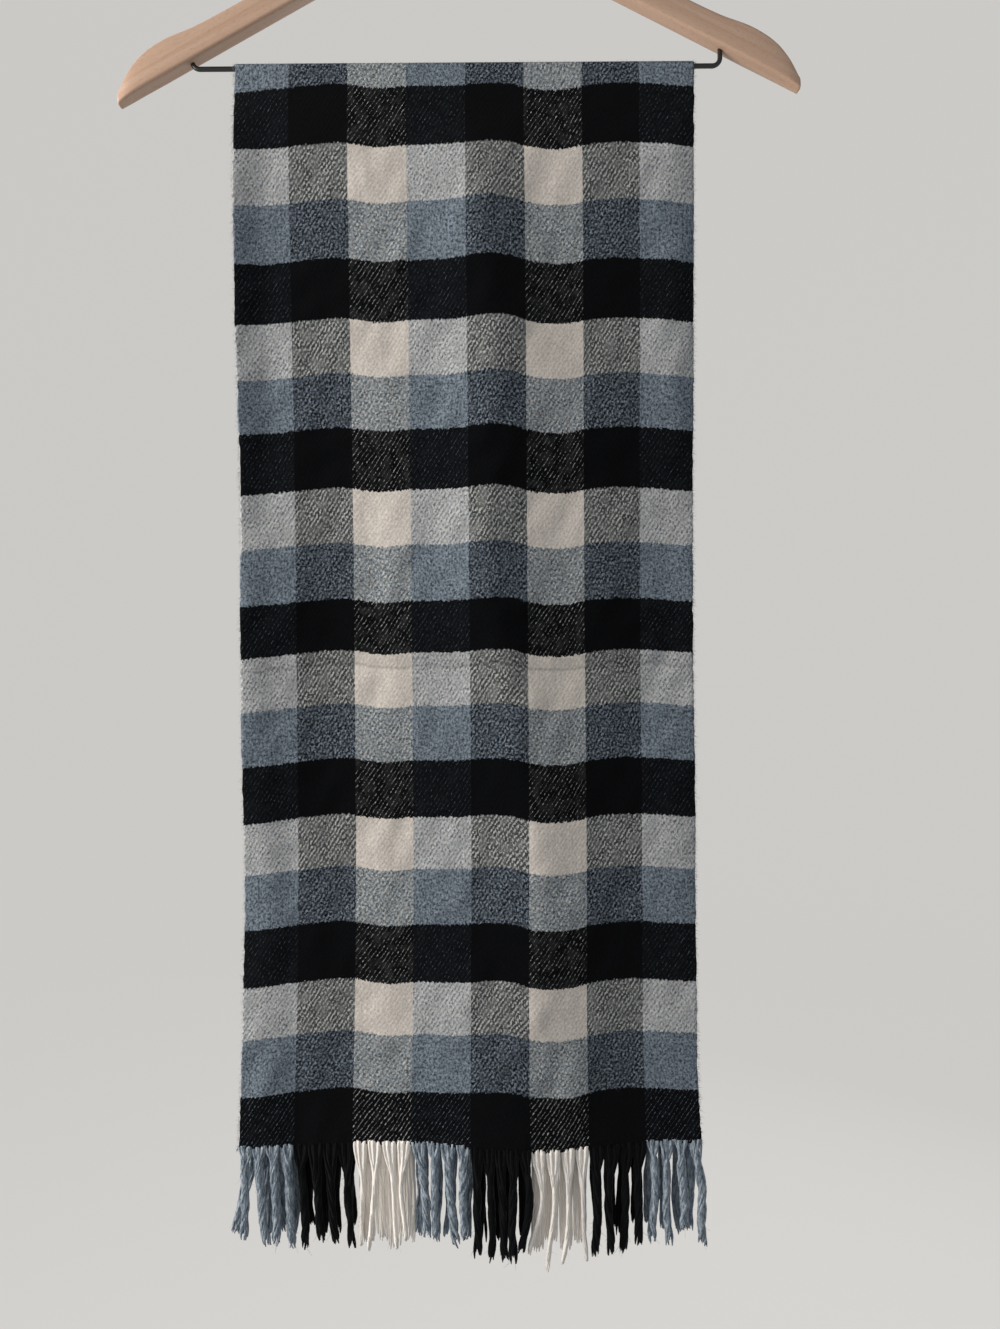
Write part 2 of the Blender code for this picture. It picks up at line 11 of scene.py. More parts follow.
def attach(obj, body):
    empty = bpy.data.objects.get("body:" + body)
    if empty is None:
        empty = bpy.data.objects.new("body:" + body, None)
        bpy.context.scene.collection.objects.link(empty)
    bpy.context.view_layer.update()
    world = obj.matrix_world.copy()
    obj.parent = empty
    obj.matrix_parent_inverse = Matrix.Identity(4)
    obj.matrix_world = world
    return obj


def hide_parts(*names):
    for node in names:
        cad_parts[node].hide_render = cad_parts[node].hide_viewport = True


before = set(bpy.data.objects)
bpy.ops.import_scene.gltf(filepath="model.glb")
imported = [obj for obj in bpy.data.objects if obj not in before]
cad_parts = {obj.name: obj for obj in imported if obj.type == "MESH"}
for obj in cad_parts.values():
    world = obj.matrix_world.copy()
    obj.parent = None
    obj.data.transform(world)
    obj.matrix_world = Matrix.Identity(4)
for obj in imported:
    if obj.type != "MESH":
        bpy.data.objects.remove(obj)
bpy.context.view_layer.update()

# The cloth: one woven length, from the back hem up over the bar and down to the front hem
cloth = {
    "barHeight": -191.0,
    "halfThickness": 0.65,
    "wrapRadius": 2.35,
    "wrapSteps": 8,
    "freeBelow": 14.0,          # the folds come in under this, over easeIn
    "easeIn": 60.0,
    "lowestDrop": 724.0,
    "columns": 84,
    "rowSpacing": 3.1,
    "edgeSteps": (0.0, 0.5, 1.4),       # close columns and rows that round the edges off
    "edgeThinning": (0.35, 0.75, 0.95),
    "meanDrop": 714.0,          # sets how many rows each drop has
    "turnStarts": 40.0,         # the length over which a turned edge comes in
    "turnEnds": 90.0,           # and the length over which it goes out again
    "turnBend": 3.0,            # radius, about
    "creaseSpread": 1.6,        # how soon a crease reaches its full depth from its ends
    "sagStarts": 12.0,          # the weft runs level over the bar, and sags from here down
    "flatWidth": 302.0,
    "stripeWidths": (35.6, 38.6, 38.8, 38.8, 38.4, 38.2, 37.6, 36.0),
    "stripeYarns": ("blue", "black", "cream", "blue", "black", "cream", "black", "blue"),
    "bandYarns": ("blue", "black", "cream"),
    "backBandStart": 17.2,
    "backBandPitch": 37.2,
    "bandsBefore": 30,          # a whole number of repeats, which keeps the count of bands above 0
    "selvageWaver": 0.45,
    "selvageFine": 0.5,         # how much of it changes from row to row
    "selvageSlow": 2.2,         # and how much over selvageRows
    "selvageRows": 17,
    "selvageMost": 1.6,
    "selvageFade": 2.0,         # columns in from the edge
    "puckerDepth": 0.24,
    "puckerWaves": 16,
    "puckerAcross": (14, 46),   # the shortest and the longest wave
    "puckerAlong": (22, 110),
    "puckerLean": 0.5,
    "seed": 5,
}

# Where one weft colour gives way to the next down the front
frontBands = (13.7, 52.9, 89.6, 127.6, 166.9, 202.8, 237.8, 277.8, 314.0, 351.4,
              385.8, 421.2, 457.6, 495.6, 530.2, 567.3, 606.3, 641.3, 680.2, 724.0)

# How far the weft sags below level across the cloth: place, sag
weftSag = ((-146, 4.2), (-133, 2.8), (-114, 1.0), (-96, -0.9), (-77, -1.9), (-58, 0.6), (-49, 1.3),
           (-31, 0.0), (-3, -0.1), (20, -1.8), (35, -1.2), (44, 1.4), (58, 3.2), (72, 2.9),
           (90, -0.2), (109, -1.3), (128, -0.6), (150, 1.2))

# One drop of the cloth: drop below the bar, left edge, right edge, how far it stands out.
# Folds: top, bottom, place across at each, half width, how far out.
# Creases: drop, slope, place, half reach, half height, how far out.
# Turned edges: top, bottom, where the turn starts, which way it runs, how steeply it stands out.
frontDrop = {
    "side": -1,
    "sections": ((0, -145.5, 156.0, 2.35), (14, -145.8, 156.0, 3.2), (45, -146.0, 156.0, 3.9),
                 (130, -145.6, 156.2, 3.2), (260, -144.8, 156.0, 2.7), (390, -144.5, 156.0, 3.0),
                 (520, -145.0, 156.4, 2.6), (620, -147.4, 156.8, 2.9), (680, -150.2, 158.4, 3.2),
                 (724, -152.4, 160.4, 3.7)),
    "hem": ((-152, 719.5), (-100, 719.0), (-50, 716.5), (-15, 716.6), (22, 719.2),
            (56, 721.0), (92, 720.0), (125, 718.2), (160, 717.8)),
    "folds": ((300, 560, -145, -146, 11, 1.4), (470, 724, -130, -131, 9, 1.5),
              (470, 724, -112, -111, 7, -0.7), (60, 300, 122, 120, 10, -0.8)),
    "turns": ((10, 320, -127, -1, 0.36), (250, 500, -128, -1, 0.15), (440, 900, -128, -1, 0.09),
              (20, 320, 145, 1, -0.3), (250, 600, 144, 1, -0.15)),
    "creases": ((386, 0.010, 0, 190, 9, 1.5), (203, -0.016, -40, 110, 12, 0.9),
                (560, 0.020, 60, 110, 14, 0.9)),
    # Soft wrinkles: place, drop, degrees from upright, half length, half width, how far out
    "wrinkles": ((-60, 72, 8, 26, 4.5, 0.45), (-44, 84, -6, 22, 4.0, -0.4),
                 (52, 640, 12, 40, 6.0, 0.7), (30, 250, -14, 40, 6.0, 0.35),
                 (110, 180, 10, 46, 7.0, -0.4), (-108, 300, 16, 38, 6.0, 0.4),
                 (84, 470, -10, 44, 6.0, 0.45), (-70, 540, 12, 40, 6.5, -0.4),
                 (128, 352, 6, 36, 5.0, 0.4), (-129, 490, 1, 120, 13, 1.2),
                 (73, 674, 0, 64, 16, 1.6), (141, 360, 0, 120, 15, -1.4),
                 (-58, 330, 0, 120, 14, -1.1)),
}
backDrop = {
    "side": 1,
    "sections": ((0, -145.5, 156.0, 2.35), (14, -145.3, 156.1, 3.2), (45, -145.0, 156.4, 3.6),
                 (150, -144.6, 156.6, 2.9), (300, -144.4, 156.6, 2.7), (450, -144.6, 156.8, 2.9),
                 (590, -145.6, 157.2, 2.6), (680, -147.0, 158.0, 3.0), (724, -148.6, 158.8, 3.4)),
    "hem": ((-146, 711.0), (-80, 713.5), (-20, 712.0), (50, 709.5), (110, 711.5), (160, 709.0)),
    "folds": ((20, 460, 116, 98, 32, 1.5), (240, 724, -44, -60, 32, 1.6),
              (420, 724, 84, 96, 24, 1.8), (560, 724, 2, 8, 22, 1.6),
              (60, 400, -120, -112, 28, 1.2), (480, 724, 150, 156, 16, 1.8)),
    "turns": (),
    "creases": ((372, -0.012, 10, 190, 9, 1.4), (190, 0.014, 50, 120, 12, 0.9),
                (540, 0.010, -30, 120, 14, 1.0)),
    "wrinkles": ((70, 96, -8, 26, 4.5, 0.45), (-30, 140, 10, 34, 5.0, -0.4),
                 (-96, 610, -12, 40, 6.0, 0.6), (20, 300, 14, 40, 6.0, 0.4),
                 (118, 420, -10, 46, 7.0, 0.4), (-60, 440, 8, 38, 6.0, 0.4)),
}
# Both drops follow these folds and lean back by these distances
sharedFolds = ((140, 480, -80, -77, 18, -1.6), (440, 724, -80, -77, 16, -1.4),
               (250, 540, -140, -138, 26, 5.0), (250, 724, 122, 118, 16, -1.0),
               (200, 480, 138, 138, 26, -2.6), (560, 724, 6, 8, 20, 1.8))
# The ridge down the middle, where the cloth was folded lengthwise. Line: drop, its place, how far
# its narrow crest stands out, and the broad roof under it.
centreRidge = {
    "line": ((25, 13, 0.0, 0.0), (60, 15, 4.0, 1.4), (110, 16, 6.0, 2.2), (160, 22, 6.0, 2.8),
             (210, 24, 6.0, 3.4), (260, 20, 5.8, 3.9), (350, 21, 5.6, 4.4), (400, 32, 5.2, 4.6),
             (450, 40, 5.0, 5.0), (510, 50, 4.8, 5.4), (600, 51, 4.6, 6.0), (660, 42, 2.8, 6.6),
             (724, 34, 1.6, 7.0)),
    "crestReach": (38.0, 48.0),     # to the left and to the right
    "roofReach": (140.0, 118.0),
    "rounding": 0.1,                # of the crest, as a share of its flank
    "power": 1.5,
}
sways = ((0, 0.0), (120, -1.0), (330, 1.6), (560, -0.8), (800, 1.8))


def smoothValue(table, column, at):
    # A smooth curve through one column of a table, read along its first column
    rows = np.array(table, float)
    keys, values = rows[:, 0], rows[:, column]
    at = np.clip(at, keys[0], keys[-1])
    i = np.clip(np.searchsorted(keys, at, side="right") - 1, 0, len(keys) - 2)
    before, after = np.maximum(i - 1, 0), np.minimum(i + 2, len(keys) - 1)
    span = keys[i + 1] - keys[i]
    t = (at - keys[i]) / span
    start = (values[i + 1] - values[before]) / (keys[i + 1] - keys[before]) * span
    end = (values[after] - values[i]) / (keys[after] - keys[i]) * span
    rise = values[i + 1] - values[i]
    squared, cubed = 3 * rise - 2 * start - end, start + end - 2 * rise
    return values[i] + t * start + t**2 * squared + t**3 * cubed


def swell(distance):
    # 1 at 0, falling smoothly to 0 at 1 on either side
    return 0.5 + 0.5 * np.cos(np.pi * np.clip(np.abs(distance), 0, 1))


def foldRelief(folds, x, drop):
    out = np.zeros(np.shape(x))
    for top, bottom, xTop, xBottom, width, height in folds:
        along = np.clip((drop - top) / (bottom - top), 0, 1)
        fall = np.clip(3 - 3 * along, 0, 1) if bottom < cloth["lowestDrop"] else 1.0
        fade = swell(1 - np.clip(3 * along, 0, 1)) * swell(1 - fall)
        out += height * fade * swell((x - xTop - (xBottom - xTop) * along) / (2 * width))
    return out


def ridgeRelief(x, drop):
    aside = x - smoothValue(centreRidge["line"], 1, drop)
    out = np.zeros(np.shape(x))
    for column, reach in ((2, centreRidge["crestReach"]), (3, centreRidge["roofReach"])):
        share = np.abs(aside) / np.where(aside < 0, *reach)
        rounded = np.sqrt(share**2 + centreRidge["rounding"]**2) - centreRidge["rounding"]
        flank = (1 - np.clip(rounded, 0, 1)) ** centreRidge["power"]
        out += smoothValue(centreRidge["line"], column, drop) * flank
    return out


def turnRelief(turns, x, drop):
    out = np.zeros(np.shape(x))
    for top, bottom, start, way, steepness in turns:
        beyond = way * (x - start)
        share = np.clip((drop - top) / cloth["turnStarts"], 0, 1)
        share = share * np.clip((bottom - drop) / cloth["turnEnds"], 0, 1)
        out += steepness * share * (beyond + np.sqrt(beyond**2 + cloth["turnBend"]**2)) / 2
    return out


def creaseRelief(creases, x, drop):
    out = np.zeros(np.shape(x))
    for middle, slope, place, reach, halfHeight, height in creases:
        share = np.minimum(1, cloth["creaseSpread"] * swell((x - place) / reach))
        out += height * share * swell((drop - middle - slope * (x - place)) / halfHeight)
    return out


def wrinkleRelief(wrinkles, x, drop):
    out = np.zeros(np.shape(x))
    for place, middle, heading, halfLength, halfWidth, height in wrinkles:
        turn = math.radians(heading)
        along = (x - place) * math.sin(turn) + (drop - middle) * math.cos(turn)
        aside = (x - place) * math.cos(turn) - (drop - middle) * math.sin(turn)
        out += height * swell(along / halfLength) * swell(aside / halfWidth)
    return out


def pucker(x, drop, seed):
    # The slight unevenness that a brushed cloth keeps all over
    dice = random.Random(seed)
    out = np.zeros(np.shape(x))
    for _ in range(cloth["puckerWaves"]):
        across, along = dice.uniform(*cloth["puckerAcross"]), dice.uniform(*cloth["puckerAlong"])
        lean = dice.uniform(-cloth["puckerLean"], cloth["puckerLean"])
        phase = dice.uniform(0, 2 * math.pi)
        wave = 2 * np.pi * (x / across + drop / along + lean * x / along) + phase
        out += dice.uniform(0.3, 1) * np.sin(wave)
    # 1.6 is about how far so many waves stand out together
    return out * cloth["puckerDepth"] / 1.6


def clothPoint(layer, across, drop):
    # The middle of the cloth: across runs 0 to 1 from left to right
    left, right, out = (smoothValue(layer["sections"], column, drop) for column in (1, 2, 3))
    x = left + (right - left) * across
    free = np.clip((drop - cloth["freeBelow"]) / cloth["easeIn"], 0, 1)
    relief = foldRelief(layer["folds"], x, drop) + creaseRelief(layer["creases"], x, drop)
    relief += wrinkleRelief(layer["wrinkles"], x, drop) + turnRelief(layer["turns"], x, drop)
    relief += pucker(x, drop, cloth["seed"])
    back = smoothValue(sways, 1, drop) - foldRelief(sharedFolds, x, drop) - ridgeRelief(x, drop)
    y = layer["side"] * (out + relief * free) + back * free
    return np.stack([x, y, cloth["barHeight"] - drop], axis=-1)


def hemDrop(layer, across):
    left, right = layer["sections"][-1][1:3]
    return smoothValue(layer["hem"], 1, left + (right - left) * across)


def weavePlace(layer, across, x, drop):
    # Where a point lies in the weave: mm across, mm along the warp, which stripe, which weft band
    level = drop - smoothValue(weftSag, 1, x) * np.clip(drop / cloth["sagStarts"], 0, 1)
    edges = np.concatenate([[0], np.cumsum(cloth["stripeWidths"])])
    stripe = np.interp(across * cloth["flatWidth"], edges, range(len(edges)))
    if layer is frontDrop:
        low = frontBands[0] - cloth["backBandPitch"]
        band = np.interp(level, (low,) + frontBands, range(len(frontBands) + 1))
        along = level
    else:
        band = (cloth["backBandStart"] - level) / cloth["backBandPitch"]
        along = -level - math.pi * cloth["wrapRadius"]
    band = band + cloth["bandsBefore"]
    return np.stack([across * cloth["flatWidth"], along, stripe, band], axis=-1)


def edgePlaces(length, count):
    # Even places along a length, with close ones at both ends
    steps = cloth["edgeSteps"]
    inner = np.linspace(0, length, count + 1)[1:-1]
    return np.concatenate([steps, inner, [length - step for step in steps[::-1]]]) / length


def edgeShare(count):
    # How thick the cloth is at each of those places
    share = np.ones(count)
    for i, thin in enumerate(cloth["edgeThinning"]):
        share[i] = share[-1 - i] = thin
    return share


def addAttribute(mesh, name, values):
    # One vector for each point
    attribute = mesh.attributes.new(name, "FLOAT_VECTOR", "POINT")
    attribute.data.foreach_set("vector", np.asarray(values, np.float32).ravel())


def makeMesh(name, points, faces, places=None):
    # A piece of the object from points in mm. places is each point's place in the weave.
    mesh = bpy.data.meshes.new(name)
    mesh.from_pydata((np.asarray(points) * 0.001).tolist(), [], faces)
    mesh.shade_smooth()
    if places is not None:
        places = np.asarray(places)
        for attribute, columns in (("weave", places[:, :2]), ("check", places[:, 2:4])):
            addAttribute(mesh, attribute, np.pad(columns, ((0, 0), (0, 1))))
    piece = bpy.data.objects.new(name, mesh)
    bpy.context.scene.collection.objects.link(piece)
    return piece


def clothGrid():
    # Rows of points from the back hem to the front hem, with each point's place in the weave
    across = edgePlaces(cloth["flatWidth"], cloth["columns"])
    rows, places = [], []
    drops = edgePlaces(cloth["meanDrop"], round(cloth["meanDrop"] / cloth["rowSpacing"]))
    for place in drops[::-1][:-len(cloth["edgeSteps"])]:
        drop = hemDrop(backDrop, across) * place
        rows.append(clothPoint(backDrop, across, drop))
        places.append(weavePlace(backDrop, across, rows[-1][:, 0], drop))
    for step in range(cloth["wrapSteps"] + 1):
        angle = math.pi * step / cloth["wrapSteps"]
        top = clothPoint(frontDrop, across, np.zeros(len(across)))
        top[:, 1] = cloth["wrapRadius"] * math.cos(angle)
        top[:, 2] += cloth["wrapRadius"] * math.sin(angle)
        place = weavePlace(frontDrop, across, top[:, 0], np.zeros(len(across)))
        gone = cloth["wrapRadius"] * (math.pi - angle)
        place[:, 1] -= gone
        place[:, 3] -= gone / cloth["backBandPitch"]
        rows.append(top)
        places.append(place)
    for place in drops[len(cloth["edgeSteps"]):]:
        drop = hemDrop(frontDrop, across) * place
        rows.append(clothPoint(frontDrop, across, drop))
        places.append(weavePlace(frontDrop, across, rows[-1][:, 0], drop))
    return np.array(rows), np.array(places)


def makeCloth():
    middle, places = clothGrid()
    rows, columns = middle.shape[:2]
    # The selvages waver a little where the weft turns back
    dice = np.random.default_rng(cloth["seed"])
    near = np.exp(-np.arange(columns) / cloth["selvageFade"])
    span, most = cloth["selvageRows"], cloth["selvageMost"]
    for reach in (near, near[::-1]):
        fine = dice.normal(0, cloth["selvageFine"], rows)
        slow = dice.normal(0, cloth["selvageSlow"], rows + span - 1)
        slow = np.convolve(slow, np.ones(span) / span, "valid")
        waver = np.clip(fine + slow, -most, most)
        middle[:, :, 0] += cloth["selvageWaver"] * np.outer(waver, reach)
    down = np.gradient(middle, axis=0)
    right = np.gradient(middle, axis=1)
    normal = np.cross(down, right)
    normal /= np.linalg.norm(normal, axis=2, keepdims=True)
    share = np.minimum.outer(edgeShare(rows), edgeShare(columns))[:, :, None]
    half = cloth["halfThickness"] * share * normal
    points = np.concatenate([(middle + half).reshape(-1, 3), (middle - half).reshape(-1, 3)])
    inside = rows * columns
    faces = []
    for r in range(rows - 1):
        for c in range(columns - 1):
            a, b = r * columns + c, (r + 1) * columns + c
            faces.append((a, b, b + 1, a + 1))
            faces.append((inside + a, inside + a + 1, inside + b + 1, inside + b))
        left, nextLeft = r * columns, (r + 1) * columns
        faces.append((left, left + inside, nextLeft + inside, nextLeft))
        end, nextEnd = left + columns - 1, nextLeft + columns - 1
        faces.append((end, nextEnd, nextEnd + inside, end + inside))
    for c in range(columns - 1):
        low = (rows - 1) * columns + c
        faces.append((c, c + 1, inside + c + 1, inside + c))
        faces.append((low, inside + low, inside + low + 1, low + 1))
    flat = places.reshape(-1, 4)
    return makeMesh("scarfCloth", points, faces, np.concatenate([flat, flat]))


def makeTubes(name, paths, radii, sides, towards, places=None):
    # Many thin round strands in one piece: paths is strand by point by xyz
    paths, radii = np.asarray(paths, float), np.asarray(radii, float)
    count, steps = paths.shape[:2]
    ahead = np.gradient(paths, axis=1)
    ahead /= np.linalg.norm(ahead, axis=2, keepdims=True) + 1e-9
    first = np.cross(ahead, np.broadcast_to(towards, paths.shape))
    first /= np.linalg.norm(first, axis=2, keepdims=True) + 1e-9
    second = np.cross(ahead, first)
    angles = 2 * np.pi * np.arange(sides) / sides
    ring = np.cos(angles)[:, None] * first[:, :, None, :]
    ring = ring + np.sin(angles)[:, None] * second[:, :, None, :]
    points = (paths[:, :, None, :] + ring * radii[:, :, None, None]).reshape(-1, 3)
    faces = []
    for strand in range(count):
        start = strand * steps * sides
        for step in range(steps - 1):
            low = start + step * sides
            for k in range(sides):
                n = (k + 1) % sides
                faces.append((low + k, low + n, low + sides + n, low + sides + k))
        faces.append(tuple(start + k for k in range(sides - 1, -1, -1)))
        end = start + (steps - 1) * sides
        faces.append(tuple(end + k for k in range(sides)))
    if places is not None:
        places = np.repeat(np.asarray(places), steps * sides, axis=0)
    return makeMesh(name, points, faces, places)


# The tassels of each stripe in front, left to right: how far each tip leans, how far its middle
# bulges to the right, and how long it is
frontTassels = (
    ((-1, 5, 2, 3), (0, -1, 1, 0.6), (61, 66, 65, 68)),
    ((3, 3, 3, 4), (0, 0, -1, 0), (69, 65, 67, 71)),
    ((0, -5, 4, 1), (1, 1, 1.5, -2.5), (69, 71, 70, 65)),
    ((5, 1, 5, 1), (2, 0, -1, -1), (62, 63, 67, 62)),
    ((0, 1, 2.6, -0.6, -2.8), (0, 1, 0, 0, 4.0), (71, 74, 73, 73, 66)),
    ((-6, -4, -3, 3), (4.4, 2, 1.8, -0.5), (68, 78, 75, 76)),
    ((-1, -1, -1, 0), (1, -1, 0.5, -1), (73, 71, 73, 69)),
    ((-1, 1, 3, 5), (1.5, -1, 0, 3), (67, 69, 60, 70)),
)
# How each yarn colour makes its tassels. root is the share of the space that the yarns leave the
# hem over, gather the share of the length over which they close up.
tassels = {
    "blue": {"yarns": 13, "thickness": 2.0, "root": 0.98, "gather": 0.24, "bundle": 2.55,
             "turns": 1.6, "backOpen": 0.6, "backLength": 70.0},
    "black": {"yarns": 12, "thickness": 2.0, "root": 1.02, "gather": 0.42, "bundle": 2.4,
              "turns": 1.1, "backOpen": 0.5, "backLength": 68.0},
    "cream": {"yarns": 19, "thickness": 1.9, "root": 0.86, "gather": 0.44, "bundle": 0.8,
              "turns": 1.0, "backOpen": 0.95, "backLength": 78.0},
    "core": 0.85,               # radius of a tassel's inside, as a share of the yarns' ring round it
    "sides": 5,
    "steps": 26,
    "insideCloth": 2.0,         # the yarns start this far up between the cloth's faces
    "unevenRoots": (-0.7, 0.9),
    "rootDepth": 0.45,
    "rootWaves": 7,
    "unevenLengths": (0.94, 1.02),      # of the yarns, as shares of their tassel's
    "unevenThickness": (0.85, 1.15),
    "coreLength": 0.93,
    "coreLeast": 0.4,
    "bow": 1.5,                 # above 1 a tassel leans most near its tip
    "sway": (0.2, 0.7),         # how far it wanders to the sides, in swayTurns waves
    "swayTurns": 1.4,
    "depthSway": 0.4,
    "drift": 1.2,               # how far its tip hangs in front or behind
    "taper": 0.12,              # of the bundle, from root to tip
    "flare": 1.2,               # it opens again under flareFrom
    "flareFrom": 0.82,
    "bundleDepth": 0.75,        # from front to back, as a share of its width
    "wobble": 0.10,             # of a yarn's thickness, this many times along it
    "wobbles": (5, 9),
    "backSpread": 5.0,
    "backLean": 2.1,
    "flick": -14.0,             # the first tassel behind swings out past the edge
    "strays": 34,               # fine fibres that stand off each tassel
    "straySteps": 5,
    "strayHeading": ((-1, 1), (-0.6, 0.4), (-1.6, -0.2)),
    "strayCurl": ((-1, 1), (-0.5, 0.5), (0, -1)),
    "strayLength": (1.5, 4.5),
    "strayRadius": (0.10, 0.045),       # at its root and at its tip
    "seed": 11,
}


def tasselPaths(root, yarn, lean, bulge, reach, halfRoot, spread, dice):
    # The yarns of one tassel: they leave the hem side by side, close up, twist and end unevenly.
    # The last path is the tassel's inside, which the yarns lie round.
    t = np.linspace(0, 1, tassels["steps"])
    paths, radii = [], []
    sway, phase = dice.uniform(*tassels["sway"]), dice.uniform(0, 6.28)
    drift = dice.uniform(-tassels["drift"], tassels["drift"])
    spin = dice.choice((-1, 1)) * yarn["turns"]
    count = yarn["yarns"]
    for n in range(count + 1):
        core = n == count
        s = t * (tassels["coreLength"] if core else dice.uniform(*tassels["unevenLengths"]))
        place = 0.0 if core else (n + 0.5) / count * 2 - 1 + dice.uniform(-0.05, 0.05)
        together = swell(1 - np.clip(s / (yarn["gather"] * dice.uniform(0.8, 1.2)), 0, 1))
        ring, turn = 0.0 if core else math.sqrt(dice.uniform(0.3, 1)), dice.uniform(0, 6.28)
        opened = tassels["flare"] * np.clip(s - tassels["flareFrom"], 0, 1)
        bundle = yarn["bundle"] * (1 - tassels["taper"] * s + opened)
        angle = turn + spin * 2 * math.pi * s
        closed = together * (1 - spread)
        aside = halfRoot * place * (1 - closed) + bundle * ring * np.cos(angle) * closed
        # Side by side in the hem, some yarns lie a little in front of the others
        depth = tassels["rootDepth"] * math.sin(tassels["rootWaves"] * place) * (1 - together)
        depth = depth + tassels["bundleDepth"] * bundle * ring * np.sin(angle) * together
        x = root[0] + aside + lean * s ** tassels["bow"]
        x = x + bulge * np.sin(np.pi * np.clip(s, 0, 1)) ** tassels["bow"]
        x += sway * np.sin(2 * np.pi * s * tassels["swayTurns"] + phase) * s
        y = root[1] + depth + drift * s + tassels["depthSway"] * np.sin(5 * s + phase) * s
        top = root[2] + tassels["insideCloth"] + dice.uniform(*tassels["unevenRoots"])
        z = top - (reach + tassels["insideCloth"]) * s
        paths.append(np.stack([x, y, z], axis=-1))
        # The core and the yarns all narrow to their tips
        if core:
            within = tassels["core"] * bundle * together * np.clip((1.0 - t) * 9, 0.25, 1)
            radii.append(tassels["coreLeast"] + within)
            continue
        thick = yarn["thickness"] / 2 * dice.uniform(*tassels["unevenThickness"])
        waves = np.sin(2 * np.pi * s * dice.uniform(*tassels["wobbles"]) + phase)
        wobble = 1 + tassels["wobble"] * waves
        radii.append(thick * wobble * np.clip((1.02 - t) * 12, 0.3, 1))
    return paths, radii


def strayPaths(paths, dice):
    # Fine fibres that stand off the yarns
    strays, radii = [], []
    t = np.linspace(0, 1, tassels["straySteps"])[:, None]
    for _ in range(tassels["strays"]):
        path = paths[dice.randrange(len(paths))]
        start = dice.randrange(3, len(path) - 1)
        out = np.array([dice.uniform(*span) for span in tassels["strayHeading"]])
        curl = np.array([dice.uniform(*span) for span in tassels["strayCurl"]])
        length = dice.uniform(*tassels["strayLength"])
        strays.append(path[start] + out * length * t + curl * length * 0.6 * t**2)
        radii.append(np.linspace(*tassels["strayRadius"], tassels["straySteps"]))
    return strays, radii


def makeFringe(layer, index, leans, bulges, lengths, yarnName, materials):
    # One stripe's tassels, hanging out of the hem
    yarn = tassels[yarnName]
    front = layer is frontDrop
    node = f"fringe_{'front' if front else 'back'}_{index + 1}"
    name = f"tassels{'Front' if front else 'Back'}{index + 1}"
    dice = random.Random(tassels["seed"] + 100 * index + layer["side"])
    edges = np.concatenate([[0], np.cumsum(cloth["stripeWidths"])]) / cloth["flatWidth"]
    left, right = edges[index], edges[index + 1]
    slot = (right - left) / len(leans)
    paths, radii, strays, strayRadii = [], [], [], []
    for i, (lean, bulge, length) in enumerate(zip(leans, bulges, lengths)):
        across = left + slot * (i + 0.5)
        root = clothPoint(layer, np.array([across]), np.array([hemDrop(layer, across)]))[0]
        halfRoot = slot * cloth["flatWidth"] * yarn["root"] / 2
        # How far the yarns stay apart, as a share of their roots
        spread = 0.0 if front else yarn["backOpen"]
        made, thick = tasselPaths(root, yarn, lean, bulge, length, halfRoot, spread, dice)
        paths += made
        radii += thick
        made, thick = strayPaths(made, dice)
        strays += made
        strayRadii += thick
    piece = makeTubes(name, paths, radii, tassels["sides"], (0, 1, 0))
    loose = makeTubes(name + "Strays", strays, strayRadii, 3, (0, 1, 0))
    for made in (piece, loose):
        made.data.materials.append(materials[yarnName])
        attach(made, "root")
    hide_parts(node)
    return [piece, loose]


# Nap: fine fibres that blur the edges of the brushed cloth
nap = {
    "selvagePerMm": 2.3,
    "hemPerMm": 2.2,
    "foldPerMm": 2.4,
    "surface": 4400,
    # Which way the fibres head: across, to the back and up, each between two values. At the
    # selvages across is outwards, and on the surface to the back is away from the cloth.
    "headings": {"selvage": ((0.5, 1), (-0.7, 0.7), (-0.8, 0.5)),
                 "hem": ((-0.5, 0.5), (-0.6, 0.6), (-0.4, -1)),
                 "fold": ((-0.6, 0.6), (-0.8, 0.8), (0.4, 1)),
                 "surface": ((-0.7, 0.7), (0.7, 1), (-1.1, 0.3))},
    "curl": ((-0.6, 0.6), (-0.3, 0.3), (-0.7, 0.2)),
    "foldRows": 2.5,            # how many rows the fibres over the bar stand on, to each side
    "length": (0.8, 2.5),
    "radius": 0.06,
    "tip": 0.4,                 # its thickness, as a share of the root's
    "steps": 3,
    "seed": 23,
}


